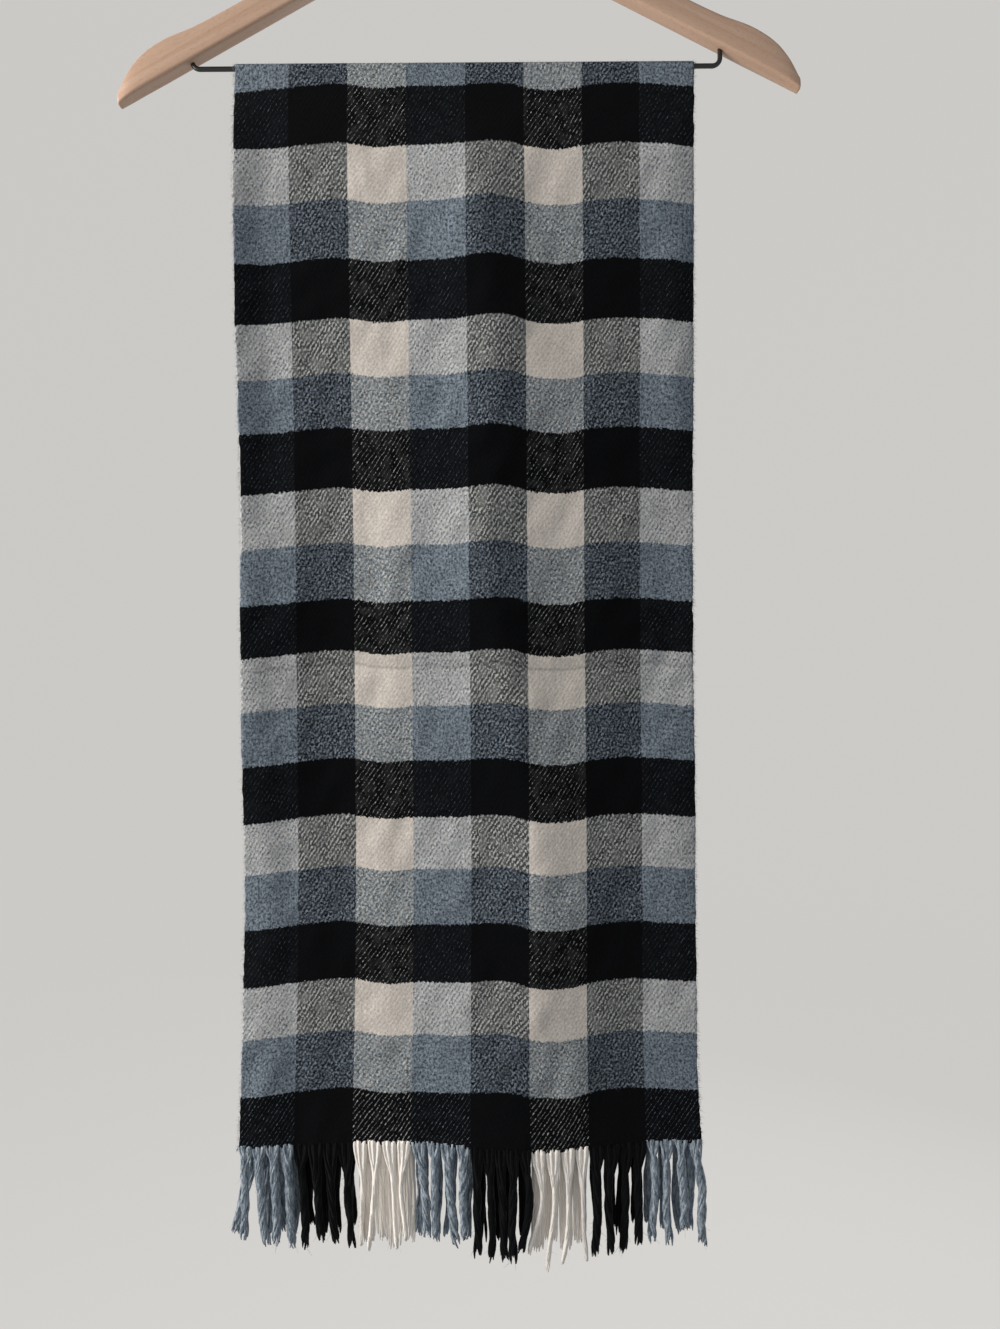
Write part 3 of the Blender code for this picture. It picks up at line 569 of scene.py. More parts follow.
def makeNap():
    middle, places = clothGrid()
    rows, columns = middle.shape[:2]
    dice = random.Random(nap["seed"])
    roots, heads, found = [], [], []

    def aim(where, across=1, back=1):
        spans = nap["headings"][where]
        return [way * dice.uniform(*span) for way, span in zip((across, back, 1), spans)]

    def grow(r, c, heading):
        low, high = min(int(r), rows - 2), min(int(c), columns - 2)
        fr, fc = r - low, c - high
        root = (middle[low, high] * (1 - fr) + middle[low + 1, high] * fr) * (1 - fc)
        root = root + (middle[low, high + 1] * (1 - fr) + middle[low + 1, high + 1] * fr) * fc
        place = (places[low, high] * (1 - fr) + places[low + 1, high] * fr) * (1 - fc)
        place = place + (places[low, high + 1] * (1 - fr) + places[low + 1, high + 1] * fr) * fc
        roots.append(root)
        heads.append(heading)
        found.append(place)

    # Each row of fibres stands just inside the cloth's edge
    length = cloth["rowSpacing"] * rows
    for side, column in ((-1, 0.2), (1, columns - 1.2)):
        for _ in range(int(length * nap["selvagePerMm"])):
            heading = aim("selvage", across=side)
            grow(dice.uniform(0, rows - 1.01), column, heading)
    for row in (0.3, rows - 1.3):
        for _ in range(int(cloth["flatWidth"] * nap["hemPerMm"])):
            heading = aim("hem")
            grow(row, dice.uniform(0, columns - 1.01), heading)
    crest = rows / 2
    for _ in range(int(cloth["flatWidth"] * nap["foldPerMm"])):
        heading = aim("fold")
        row = crest + dice.uniform(-nap["foldRows"], nap["foldRows"])
        grow(row, dice.uniform(0, columns - 1.01), heading)
    for _ in range(nap["surface"]):
        r, c = dice.uniform(3, rows - 4), dice.uniform(3, columns - 4)
        grow(r, c, aim("surface", back=-1 if r > crest else 1))
    roots, heads = np.array(roots), np.array(heads)
    lengths = np.array([dice.uniform(*nap["length"]) for _ in roots])[:, None, None]
    curls = np.array([[dice.uniform(*span) for span in nap["curl"]] for _ in roots])
    t = np.linspace(0, 1, nap["steps"])[None, :, None]
    paths = roots[:, None, :] + heads[:, None, :] * lengths * t + curls[:, None, :] * lengths * t**2
    taper = np.linspace(1, nap["tip"], nap["steps"])[None, :] * nap["radius"]
    radii = np.repeat(taper, len(roots), axis=0)
    return makeTubes("scarfNap", paths, radii, 3, (0.3, 0.2, 1), found)


# The hanger: one piece of waxed beech, a bent wire bar and a bent wire hook.
# Stations: distance out, how far the underside is lowered, depth, thickness.
hanger = {
    "armSlope": 27.8,
    "armApex": 98.5,
    "tilt": 0.9,
    "corner": 2.2,
    "cornerMost": 0.72,         # of the smaller half of its section
    "ringCorners": 6,
    "ringSpacing": (4.0, 1.6),  # along the arm, and from tipFrom on
    "tipFrom": 200,
    "stations": ((0, 4.5, 27.5, 14.0), (9, 3.2, 26.0, 14.0), (24, 0.6, 22.5, 13.2),
                 (55, 0, 20.6, 12.6), (100, 0, 19.6, 12.4), (145, 0, 19.2, 12.4),
                 (172, 0, 20.0, 12.6), (193, 0, 22.6, 12.8), (208, 0, 20.6, 12.4),
                 (217, 0.4, 15.2, 11.4), (223.4, 1.2, 8.4, 9.0)),
    "tipRound": 1.6,
    "tipRings": (0.35, 0.65, 0.88, 1.0),    # places along tipRound
    "tipLeast": 0.12,
    "tipShrink": 0.75,
    "grainShift": 300,          # the two arms are cut from different wood
    "wireSides": 20,
    "wireEndRings": (0.4, 0.7, 0.9, 0.99),  # places along a round end, as shares of its radius
    "barThickness": 3.2,
    "barHalfSpan": 174.0,
    "barBend": 5.0,
    "barBendSteps": 12,
    "barSocket": 9.0,
    "hookThickness": 3.8,
    "hookInnerRadius": 22.0,
    "hookTipAngle": 205.0,
    "hookStemAngle": -35.0,
    "hookBend": 14.0,
    "hookBendSteps": 10,
    "hookRoundSteps": 64,
    "hookSocket": 22.0,
    "hookSocketGap": 0.35,
    "hookShank": 12,            # straight, under the bend
}


def woodRing(out, lowered, depth, thickness):
    # One cross-section of the arm with rounded corners, as y and height over the bar
    low = hanger["armApex"] - math.tan(math.radians(hanger["armSlope"])) * abs(out) - lowered
    halfY, halfZ = thickness / 2, depth / 2
    corner = min(hanger["corner"], hanger["cornerMost"] * min(halfY, halfZ))
    ring = []
    for turn, sy, sz in ((-90, 1, -1), (0, 1, 1), (90, -1, 1), (180, -1, -1)):
        for k in range(hanger["ringCorners"]):
            angle = math.radians(turn + 90 * k / (hanger["ringCorners"] - 1))
            y = sy * (halfY - corner) + corner * math.cos(angle)
            z = sz * (halfZ - corner) + corner * math.sin(angle)
            ring.append((y, low + halfZ + z))
    return ring


def makeWood():
    stations = hanger["stations"]
    reach = stations[-1][0]
    wide, close = hanger["ringSpacing"]
    tipFrom = hanger["tipFrom"]
    outs = np.concatenate([np.arange(0, tipFrom, wide), np.arange(tipFrom, reach, close), [reach]])
    arm = []
    for out in outs:
        values = [float(smoothValue(stations, column, out)) for column in (1, 2, 3)]
        arm.append((out, *values))
    out, lowered, depth, thickness = arm[-1]
    # The tip is closed by ever smaller rings
    for share in hanger["tipRings"]:
        small = math.sqrt(1 - share**2) if share < 1 else hanger["tipLeast"]
        kept = 1 - hanger["tipShrink"] * (1 - small)
        shift = lowered - (depth - depth * kept) / 2
        arm.append((out + hanger["tipRound"] * share, shift, depth * kept, thickness * kept))
    rings = [(-row[0],) + row[1:] for row in arm[:0:-1]] + arm
    points, grain = [], []
    tilt = math.radians(-hanger["tilt"])
    slope = math.radians(hanger["armSlope"])
    for out, lowered, depth, thickness in rings:
        for y, z in woodRing(out, lowered, depth, thickness):
            high = z - hanger["armApex"]
            x = out * math.cos(tilt) + high * math.sin(tilt)
            lift = -out * math.sin(tilt) + high * math.cos(tilt)
            points.append((x, y, cloth["barHeight"] + hanger["armApex"] + lift))
            along = abs(out) * math.cos(slope) - high * math.sin(slope)
            aside = abs(out) * math.sin(slope) + high * math.cos(slope)
            grain.append((along + (hanger["grainShift"] if out > 0 else 0), aside, y))
    around = 4 * hanger["ringCorners"]
    faces = []
    for i in range(len(rings) - 1):
        for k in range(around):
            n = (k + 1) % around
            a, b = i * around, (i + 1) * around
            faces.append((a + k, a + n, b + n, b + k))
    faces.append(tuple(range(around - 1, -1, -1)))
    last = (len(rings) - 1) * around
    faces.append(tuple(last + k for k in range(around)))
    piece = makeMesh("hangerWood", points, faces)
    addAttribute(piece.data, "grain", grain)
    return piece


def makeWire(name, points, thickness, roundEnd):
    # A bent round wire. A round end is made of ever smaller rings.
    points = [np.array(point, float) for point in points]
    radii = [thickness / 2] * len(points)
    if roundEnd:
        ahead = points[-1] - points[-2]
        ahead /= np.linalg.norm(ahead)
        tip = points[-1]
        for share in hanger["wireEndRings"]:
            points.append(tip + ahead * share * thickness / 2)
            radii.append(thickness / 2 * math.sqrt(1 - share**2))
    return makeTubes(name, [points], [radii], hanger["wireSides"], (0, 1, 0))


def barPoints():
    # Down out of one arm, round a bend, across and up into the other arm
    points = []
    steps = hanger["barBendSteps"]
    under = hanger["armApex"] - math.tan(math.radians(hanger["armSlope"])) * hanger["barHalfSpan"]
    for side in (-1, 1):
        lift = side * hanger["barHalfSpan"] * math.sin(math.radians(hanger["tilt"]))
        top = cloth["barHeight"] + under + lift + hanger["barSocket"]
        end = [(side * hanger["barHalfSpan"], 0, top)]
        for step in range(steps + 1):
            angle = math.radians(90 * step / steps)
            x = hanger["barHalfSpan"] - hanger["barBend"] * (1 - math.cos(angle))
            z = cloth["barHeight"] + hanger["barBend"] * (1 - math.sin(angle))
            end.append((side * x, 0, z))
        points += end if side < 0 else end[::-1]
    return points


def hookPoints():
    # Up out of the neck, over to the right and round to the tip
    radius = hanger["hookInnerRadius"] + hanger["hookThickness"] / 2
    centre = np.array([0, 0, -hanger["hookInnerRadius"]])
    start = math.radians(hanger["hookStemAngle"])
    joint = centre + radius * np.array([math.cos(start), 0, math.sin(start)])
    heading = np.array([-math.sin(start), 0, math.cos(start)])
    bend = hanger["hookBend"]
    footX = bend * (1 - math.cos(-start))
    straight = (joint[0] - footX) / heading[0]
    footZ = joint[2] - straight * heading[2] - bend * math.sin(-start)
    top = cloth["barHeight"] + hanger["armApex"] + hanger["stations"][0][2]
    points = [(0, 0, top - hanger["hookSocket"] + hanger["hookSocketGap"]),
              (0, 0, footZ - hanger["hookShank"])]
    steps = hanger["hookBendSteps"]
    for step in range(steps + 1):
        angle = -start * step / steps
        points.append((bend * (1 - math.cos(angle)), 0, footZ + bend * math.sin(angle)))
    steps = hanger["hookRoundSteps"]
    for step in range(steps + 1):
        angle = start + (math.radians(hanger["hookTipAngle"]) - start) * step / steps
        points.append(tuple(centre + radius * np.array([math.cos(angle), 0, math.sin(angle)])))
    return points


# Materials
def linearColour(hexText):
    # sRGB hex to the linear values that the shaders use
    parts = [int(hexText[i:i + 2], 16) / 255 for i in (1, 3, 5)]
    linear = [p / 12.92 if p <= 0.04045 else ((p + 0.055) / 1.055) ** 2.4 for p in parts]
    return (*linear, 1.0)


def addNode(tree, kind, inputs=None, stops=None, **settings):
    # Adds a node. An input is a value, a socket, or a node whose first output in use is taken.
    # Stops are a ramp's steps.
    node = tree.nodes.new("ShaderNode" + kind)
    for name, value in settings.items():
        setattr(node, name, value)
    for socket, value in (inputs or {}).items():
        if isinstance(value, bpy.types.Node):
            value = next(output for output in value.outputs if output.enabled)
        if isinstance(value, bpy.types.NodeSocket):
            tree.links.new(value, node.inputs[socket])
        else:
            node.inputs[socket].default_value = value
    for i, (place, colour) in enumerate(stops or ()):
        node.color_ramp.interpolation = "CONSTANT"
        elements = node.color_ramp.elements
        stop = elements[i] if i < 2 else elements.new(place)
        stop.position = place
        stop.color = colour
    return node


def startMaterial(name):
    made = bpy.data.materials.new(name)
    made.use_nodes = True
    tree = made.node_tree
    return made, tree, tree.nodes["Principled BSDF"]


# Yarn colours: the darker and lighter strands that each one is spun from
yarns = {
    "blue": ("#333c46", "#8c97a1"),
    "black": ("#020304", "#07080b"),
    "cream": ("#b8b5b1", "#dad7d3"),
}

check = {
    "linePitch": 3.0,           # mm across from one twill line to the next: four warp ends
    "lineRise": 4.6,            # mm along over which a line crosses that: four picks
    # How much of the warp shows through each weft. A darker weft buries it in its nap.
    "warpShare": {"blue": {"blue": 0.5, "black": 0.53, "cream": 0.26},
                  "black": {"blue": 0.034, "black": 0.5, "cream": 0.047},
                  "cream": {"blue": 0.47, "black": 0.65, "cream": 0.5}},
    # How much of the pattern is twill lines: the rest is flecks
    "lineWeight": {"blue": {"blue": 0.28, "black": 0.28, "cream": 0.28},
                   "black": {"blue": 0.66, "black": 0.66, "cream": 0.62},
                   "cream": {"blue": 0.34, "black": 0.34, "cream": 0.34}},
    # How much of the pattern is left: the nap blurs the rest of it away
    "crispness": {"blue": {"blue": 0.86, "black": 0.80, "cream": 0.72},
                  "black": {"blue": 0.62, "black": 1.0, "cream": 0.92},
                  "cream": {"blue": 0.68, "black": 0.68, "cream": 0.6}},
    "felting": (0.45, 1.12),    # least and most of that crispness, as the brushing varies
    "feltingRange": (0.36, 0.56),       # the noise's levels that give the least and the most
    "fleckRange": (0.28, 0.72),         # and those between which a fleck or a mottle comes in
    "mottleRange": (0.38, 0.62),
    # Cream over cream looks warmer than cream among darker yarns
    "tint": {"blue": {"blue": "#ffffff", "black": "#fcfcff", "cream": "#fdfdf9"},
             "black": {"blue": "#f4f9ff", "black": "#f4f8ff", "cream": "#f6fcff"},
             "cream": {"blue": "#feffff", "black": "#f6fdff", "cream": "#fff9f3"}},
    "hemFrom": 681.0,           # mm down the front: from here on a short nap leaves the lines clear
    "hemShare": 0.014,          # added to the warp's share there
    "hemLevel": -0.025,
    "hemCrispness": 0.35,
    "creaseDrop": 397.5,        # a line of painted shade across, where the cloth was once folded flat into a crease
    "creaseWaver": 5.0,
    "creaseLine": (0.4, 1.5),   # half the line's width, and how far it fades out
    "creaseStrip": 13.0,        # painted shade darkens the cloth over it for this far up
    "creasePaintedShades": (0.80, 0.90),       # painted shade of the line and of the strip, as shares of the colour
    "cloudTone": (0.40, 0.63),  # how much the brushing's clouds lighten it, and from where
    "streakTone": 0.34,
    "softness": 0.10,
    "fuzz": (0.03, 0.12),       # how far the nap carries colours over borders, in stripes and bands
    "waver": 1.4,               # mm
    # painted shade in the twill's hollows
    "ribPaintedShade": 0.05,
    "ribHeight": 0.14,
    "relief": 0.35,             # mm from the lowest to the highest fibre
    "reliefStrength": 0.55,
    "roughness": 0.92,
    "specular": 0.04,
    "sheen": 0.03,
    "sheenRoughness": 0.55,
    # Noises over the flat cloth: how fine per mm across and along, where each starts, its detail
    # and its roughness.
    # The flecks and mottles are drawn coarser than fibres, so that they show.
    "noises": {"waver": ((0.22, 0.22, 0.22), (0, 0, 0), 1.0, 0.5),
               "fleck": ((0.85, 0.52, 1), (9, 5, 0), 2.0, 0.7),
               "hair": ((0.75, 0.3, 1), (0, 0, 0), 2.0, 0.5),
               "warpMottle": ((0.78, 0.42, 1), (0, 0, 0), 2.0, 0.6),
               "weftMottle": ((0.55, 0.62, 1), (37, 37, 0), 2.0, 0.6),
               "brushing": ((0.14, 0.10, 1), (3, 7, 0), 3.0, 0.6),
               "streak": ((0.55, 0.035, 1), (0, 0, 0), 3.0, 0.65),
               "cloud": ((0.085, 0.032, 1), (0, 0, 0), 2.0, 0.5),
               "fibre": ((2.4, 0.8, 1), (0, 0, 0), 3.0, 0.5)},
}


def patternLevel(share):
    # The level of the pattern that about this share of the cloth lies above
    return 1 - math.sqrt(share / 2) if share < 0.5 else math.sqrt((1 - share) / 2)


def stripeStops(values):
    # Ramp stops with each warp stripe's value: a colour or a number
    stops = []
    for i, yarn in enumerate(cloth["stripeYarns"]):
        value = values[yarn]
        colour = linearColour(value) if isinstance(value, str) else (value,) * 3 + (1.0,)
        stops.append((i / len(cloth["stripeYarns"]), colour))
    return stops


def makeCheckCloth():
    # Brushed cashmere, 2/2 twill: soft diagonal ribs, hairy colour borders, a faint bloom, no shine
    made, tree, shader = startMaterial("brushedCashmereTwill")
    weave = addNode(tree, "Attribute", attribute_name="weave").outputs["Vector"]
    place = addNode(tree, "Attribute", attribute_name="check").outputs["Vector"]
    noise = {}
    for name, (scale, start, detail, roughness) in check["noises"].items():
        mapped = addNode(tree, "Mapping", {"Vector": weave, "Scale": scale, "Location": start})
        noise[name] = addNode(tree, "TexNoise", {"Vector": mapped, "Scale": 1.0, "Detail": detail,
                                                 "Roughness": roughness})

    # 1 in the middle of a twill line of warp floats, 0 half way to the next
    waver = addNode(tree, "VectorMath", {0: noise["waver"].outputs["Color"], 1: (0.5, 0.5, 0.5)},
                    operation="SUBTRACT")
    threads = addNode(tree, "VectorMath", {0: waver, 1: (check["waver"],) * 3, 2: weave},
                      operation="MULTIPLY_ADD")
    along = addNode(tree, "SeparateXYZ", {0: threads}).outputs["Y"]
    lines = (2 / check["linePitch"], 2 / check["lineRise"], 0)
    diagonal = addNode(tree, "VectorMath", {0: threads, 1: lines}, operation="DOT_PRODUCT")
    onLine = addNode(tree, "Math", {0: diagonal.outputs["Value"], 1: 1.0}, operation="PINGPONG")
    low, high = check["fleckRange"]
    fleck = addNode(tree, "MapRange", {0: noise["fleck"], 1: low, 2: high})

    # Which stripe and which band, from 0 to 1, with hairs carried over the borders between them
    hair = addNode(tree, "Math", {0: noise["hair"], 1: 0.5}, operation="SUBTRACT")
    carried = addNode(tree, "VectorMath", {0: hair, 1: check["fuzz"] + (0,), 2: place},
                      operation="MULTIPLY_ADD")
    counts = (1 / len(cloth["stripeYarns"]), 1 / len(cloth["bandYarns"]), 0)
    repeats = addNode(tree, "VectorMath", {0: carried, 1: counts}, operation="MULTIPLY")
    repeats = addNode(tree, "VectorMath", {0: repeats}, operation="FRACTION")
    turns = addNode(tree, "SeparateXYZ", {0: repeats})
    stripeTurn, bandTurn = turns.outputs["X"], turns.outputs["Y"]
    inBand = [addNode(tree, "Math", {0: bandTurn, 1: i / len(cloth["bandYarns"])},
                      operation="GREATER_THAN") for i in (1, 2)]

    # Each yarn is mottled between its two shades
    spun = []
    for shade in (0, 1):
        colours = {yarn: shades[shade] for yarn, shades in yarns.items()}
        wefts = [linearColour(colours[yarn]) for yarn in cloth["bandYarns"]]
        firstTwo = addNode(tree, "Mix", {0: inBand[0], 6: wefts[0], 7: wefts[1]}, data_type="RGBA")
        weft = addNode(tree, "Mix", {0: inBand[1], 6: firstTwo, 7: wefts[2]}, data_type="RGBA")
        warp = addNode(tree, "ValToRGB", {0: stripeTurn}, stripeStops(colours))
        spun.append((warp, weft))
    twisted = []
    low, high = check["mottleRange"]
    for dark, pale, name in zip(*spun, ("warpMottle", "weftMottle")):
        mottle = addNode(tree, "MapRange", {0: noise[name], 1: low, 2: high})
        twisted.append(addNode(tree, "Mix", {0: mottle, 6: dark, 7: pale}, data_type="RGBA"))

    # What each pair of weft and warp colours shows
    levels = {weft: {warp: patternLevel(share) for warp, share in row.items()}
              for weft, row in check["warpShare"].items()}
    tables = (check["warpShare"], levels, check["lineWeight"], check["crispness"], check["tint"])
    found = []
    for table in tables:
        ramps = [addNode(tree, "ValToRGB", {0: stripeTurn}, stripeStops(table[yarn]))
                 for yarn in cloth["bandYarns"]]
        firstTwo = addNode(tree, "Mix", {0: inBand[0], 6: ramps[0], 7: ramps[1]}, data_type="RGBA")
        allThree = addNode(tree, "Mix", {0: inBand[1], 6: firstTwo, 7: ramps[2]}, data_type="RGBA")
        found.append(allThree)
    share, level, lineWeight, crispness, tint = found
    low, high = check["feltingRange"]
    least, most = check["felting"]
    felting = addNode(tree, "MapRange", {0: noise["brushing"], 1: low, 2: high, 3: least, 4: most})
    crispness = addNode(tree, "Math", {0: crispness, 1: felting}, operation="MULTIPLY")
    atHem = addNode(tree, "Math", {0: along, 1: check["hemFrom"]}, operation="GREATER_THAN")
    share, level, crispness = (
        addNode(tree, "Math", {0: atHem, 1: more, 2: value}, operation="MULTIPLY_ADD")
        for value, more in ((share, check["hemShare"]), (level, check["hemLevel"]),
                            (crispness, check["hemCrispness"])))

    # Lines and flecks of warp over the weft. The mix factors hold crispness to 1.
    pattern = addNode(tree, "Mix", {0: lineWeight, 2: fleck, 3: onLine})
    height = addNode(tree, "Math", {0: pattern, 1: level}, operation="SUBTRACT")
    crisp = addNode(tree, "MapRange", {0: height, 1: -check["softness"], 2: check["softness"]})
    over = addNode(tree, "Mix", {0: crispness, 2: share, 3: crisp})
    mixed = addNode(tree, "Mix", {0: over, 6: twisted[1], 7: twisted[0]}, data_type="RGBA")
    colour = addNode(tree, "Mix", {0: 1.0, 6: mixed, 7: tint}, data_type="RGBA",
                     blend_type="MULTIPLY")

    # Streaks along the warp, a slow cloudiness from the brushing, and painted shade: a dark crease
    # line with a darker strip above it
    clouds, least = check["cloudTone"]
    tone = addNode(tree, "Math", {0: noise["cloud"], 1: clouds, 2: least}, operation="MULTIPLY_ADD")
    tone = addNode(tree, "Math", {0: noise["streak"], 1: check["streakTone"], 2: tone},
                   operation="MULTIPLY_ADD")
    waved = addNode(tree, "Math", {0: noise["cloud"], 1: check["creaseWaver"], 2: along},
                    operation="MULTIPLY_ADD")
    above = addNode(tree, "Math", {0: check["creaseDrop"], 1: waved}, operation="SUBTRACT")
    near = addNode(tree, "Math", {0: above}, operation="ABSOLUTE")
    # Painted shade along the crease: its line and the strip over it are darkened
    line, strip = check["creasePaintedShades"]
    narrow, wide = check["creaseLine"]
    lineShade = addNode(tree, "MapRange", {0: near, 1: narrow, 2: wide, 3: line, 4: 1.0})
    stripShade = addNode(tree, "MapRange", {0: above, 1: check["creaseStrip"], 2: 0.0, 3: 1.0,
                                           4: strip})
    below = addNode(tree, "Math", {0: above, 1: 0.0}, operation="LESS_THAN")
    stripShade = addNode(tree, "Math", {0: stripShade, 1: below}, operation="MAXIMUM")
    paintedCreaseShade = addNode(tree, "Math", {0: lineShade, 1: stripShade}, operation="MULTIPLY")
    tone = addNode(tree, "Math", {0: tone, 1: paintedCreaseShade}, operation="MULTIPLY")
    # Painted shade: the twill's hollows, which the bump below lowers, are painted darker
    ribTurn = addNode(tree, "Math", {0: onLine, 1: math.pi}, operation="MULTIPLY")
    hollow = addNode(tree, "Math", {0: ribTurn}, operation="COSINE")
    shaded = addNode(tree, "Math", {0: hollow, 1: -check["ribPaintedShade"], 2: tone},
                     operation="MULTIPLY_ADD")
    toned = addNode(tree, "VectorMath", {0: colour, "Scale": shaded}, operation="SCALE")
    tree.links.new(toned.outputs[0], shader.inputs["Base Color"])

    raised = addNode(tree, "Math", {0: hollow, 1: -check["ribHeight"], 2: noise["fibre"]},
                     operation="MULTIPLY_ADD")
    bump = addNode(tree, "Bump", {"Height": raised, "Strength": check["reliefStrength"],
                                  "Distance": check["relief"] / 1000})
    tree.links.new(bump.outputs[0], shader.inputs["Normal"])
    shader.inputs["Roughness"].default_value = check["roughness"]
    shader.inputs["Specular IOR Level"].default_value = check["specular"]
    shader.inputs["Sheen Weight"].default_value = check["sheen"]
    shader.inputs["Sheen Roughness"].default_value = check["sheenRoughness"]
    return made


tasselYarn = {
    "fleck": (0.75, 0.75, 0.19),    # flecks per mm: across, deep, along the tassel
    "shades": {"blue": ("#525f6b", "#aeb8c1"), "black": ("#040506", "#0b0d10"),
               "cream": ("#efe7dc", "#fffaf3")},
    "contrast": {"blue": (0.37, 0.64), "black": (0.3, 0.7), "cream": (0.2, 0.8)},
    "fibre": (2.6, 2.6, 0.9),       # the same for fibres, drawn coarser than real ones to show
    "relief": 0.3,                  # mm
    "reliefStrength": 0.6,
    "roughness": 0.9,
    "specular": 0.06,
    "sheen": 0.05,
}


def makeTasselYarn(yarnName):
    # Twisted cashmere yarn: matt, flecked where two shades are spun together, slightly hairy
    made, tree, shader = startMaterial("twistedCashmereYarn_" + yarnName)
    position = addNode(tree, "NewGeometry").outputs["Position"]
    flecks = tuple(1000 * perMm for perMm in tasselYarn["fleck"])
    mapped = addNode(tree, "Mapping", {"Vector": position, "Scale": flecks})
    noise = addNode(tree, "TexNoise", {"Vector": mapped, "Scale": 1.0, "Detail": 4.0,
                                       "Roughness": 0.75})
    low, high = tasselYarn["contrast"][yarnName]
    fleck = addNode(tree, "MapRange", {0: noise, 1: low, 2: high})
    dark, pale = (linearColour(text) for text in tasselYarn["shades"][yarnName])
    colour = addNode(tree, "Mix", {0: fleck, 6: dark, 7: pale}, data_type="RGBA")
    tree.links.new(colour.outputs[2], shader.inputs["Base Color"])
    fibres = tuple(1000 * perMm for perMm in tasselYarn["fibre"])
    fine = addNode(tree, "Mapping", {"Vector": position, "Scale": fibres})
    fineNoise = addNode(tree, "TexNoise", {"Vector": fine, "Scale": 1.0, "Detail": 2.0})
    bump = addNode(tree, "Bump", {"Height": fineNoise, "Strength": tasselYarn["reliefStrength"],
                                  "Distance": tasselYarn["relief"] / 1000})
    tree.links.new(bump.outputs[0], shader.inputs["Normal"])
    shader.inputs["Roughness"].default_value = tasselYarn["roughness"]
    shader.inputs["Specular IOR Level"].default_value = tasselYarn["specular"]
    shader.inputs["Sheen Weight"].default_value = tasselYarn["sheen"]
    return made


beech = {
    "pale": "#c5a58e",
    "dark": "#b8957c",
    "ray": "#9a765d",
    "ringWidth": 3.4,           # mm between growth rings where they meet the face
    "ringLength": 100.0,        # mm along the arm over which a ring keeps its tone
    "ringDepth": 6.25,          # mm from front to back, the same
    "rayLength": 2.6,           # mm
    "rays": (2.6, 1.2),         # per mm across the grain and from front to back
    "rayRange": (0.60, 0.72),   # of the noise, from none to full
    "rayStrength": 0.55,
    "roughness": 0.42,
    "ior": 1.5,                 # wax
}


def makeBeech():
    # Waxed beech: pinkish tan, straight grain along the arm, short darker ray flecks, satin gloss
    made, tree, shader = startMaterial("waxedBeech")
    grain = addNode(tree, "Attribute", attribute_name="grain").outputs["Vector"]
    perMm = tuple(1 / beech[size] for size in ("ringLength", "ringWidth", "ringDepth"))
    slow = addNode(tree, "Mapping", {"Vector": grain, "Scale": perMm})
    rings = addNode(tree, "TexNoise", {"Vector": slow, "Scale": 1.0, "Detail": 3.0,
                                       "Distortion": 0.4})
    ringTone = addNode(tree, "MapRange", {0: rings, 1: 0.3, 2: 0.7})
    pale, dark = linearColour(beech["pale"]), linearColour(beech["dark"])
    wood = addNode(tree, "Mix", {0: ringTone, 6: pale, 7: dark}, data_type="RGBA")
    perMm = (1 / beech["rayLength"],) + beech["rays"]
    flecks = addNode(tree, "Mapping", {"Vector": grain, "Scale": perMm})
    rays = addNode(tree, "TexNoise", {"Vector": flecks, "Scale": 1.0, "Detail": 1.0})
    low, high = beech["rayRange"]
    rayTone = addNode(tree, "MapRange", {0: rays, 1: low, 2: high, 4: beech["rayStrength"]})
    ray = linearColour(beech["ray"])
    colour = addNode(tree, "Mix", {0: rayTone, 6: wood, 7: ray}, data_type="RGBA")
    tree.links.new(colour.outputs[2], shader.inputs["Base Color"])
    bump = addNode(tree, "Bump", {"Height": rays, "Strength": 0.15, "Distance": 0.0002})
    tree.links.new(bump.outputs[0], shader.inputs["Normal"])
    shader.inputs["Roughness"].default_value = beech["roughness"]
    shader.inputs["IOR"].default_value = beech["ior"]
    return made


enamel = {
    "shades": ("#0c0c0d", "#17181a"),
    "peel": 0.9,                # dimples per mm
    "roughness": 0.34,
}


def makeEnamel():
    # Black stoving enamel on steel wire: deep black, soft gloss, a slight orange peel
    made, tree, shader = startMaterial("blackEnamelledSteel")
    position = addNode(tree, "NewGeometry").outputs["Position"]
    peel = addNode(tree, "TexNoise", {"Vector": position, "Scale": 1000 * enamel["peel"],
                                      "Detail": 1.0})
    dark, pale = (linearColour(text) for text in enamel["shades"])
    tone = addNode(tree, "Mix", {0: peel, 6: dark, 7: pale}, data_type="RGBA")
    tree.links.new(tone.outputs[2], shader.inputs["Base Color"])
    bump = addNode(tree, "Bump", {"Height": peel, "Strength": 0.12, "Distance": 0.0002})
    tree.links.new(bump.outputs[0], shader.inputs["Normal"])
    shader.inputs["Roughness"].default_value = enamel["roughness"]
    return made


nickel = {
    "shades": ("#b9b3a8", "#cfcac0"),
    "marks": 1.4,                   # per mm, drawn coarser than real ones to show
    "roughness": (0.20, 0.32),      # where the marks are faintest and where they are strongest
}


def makeNickel():
    # Bright nickel plate on steel wire: warm silver, drawing marks along the wire
    made, tree, shader = startMaterial("nickelPlatedSteel")
    position = addNode(tree, "NewGeometry").outputs["Position"]
    marks = addNode(tree, "TexNoise", {"Vector": position, "Scale": 1000 * nickel["marks"],
                                       "Detail": 2.0})
    smooth, worn = nickel["roughness"]
    wear = addNode(tree, "MapRange", {0: marks, 3: smooth, 4: worn})
    dark, pale = (linearColour(text) for text in nickel["shades"])
    tone = addNode(tree, "Mix", {0: marks, 6: dark, 7: pale}, data_type="RGBA")
    tree.links.new(tone.outputs[2], shader.inputs["Base Color"])
    tree.links.new(wear.outputs[0], shader.inputs["Roughness"])
    shader.inputs["Metallic"].default_value = 1.0
    return made


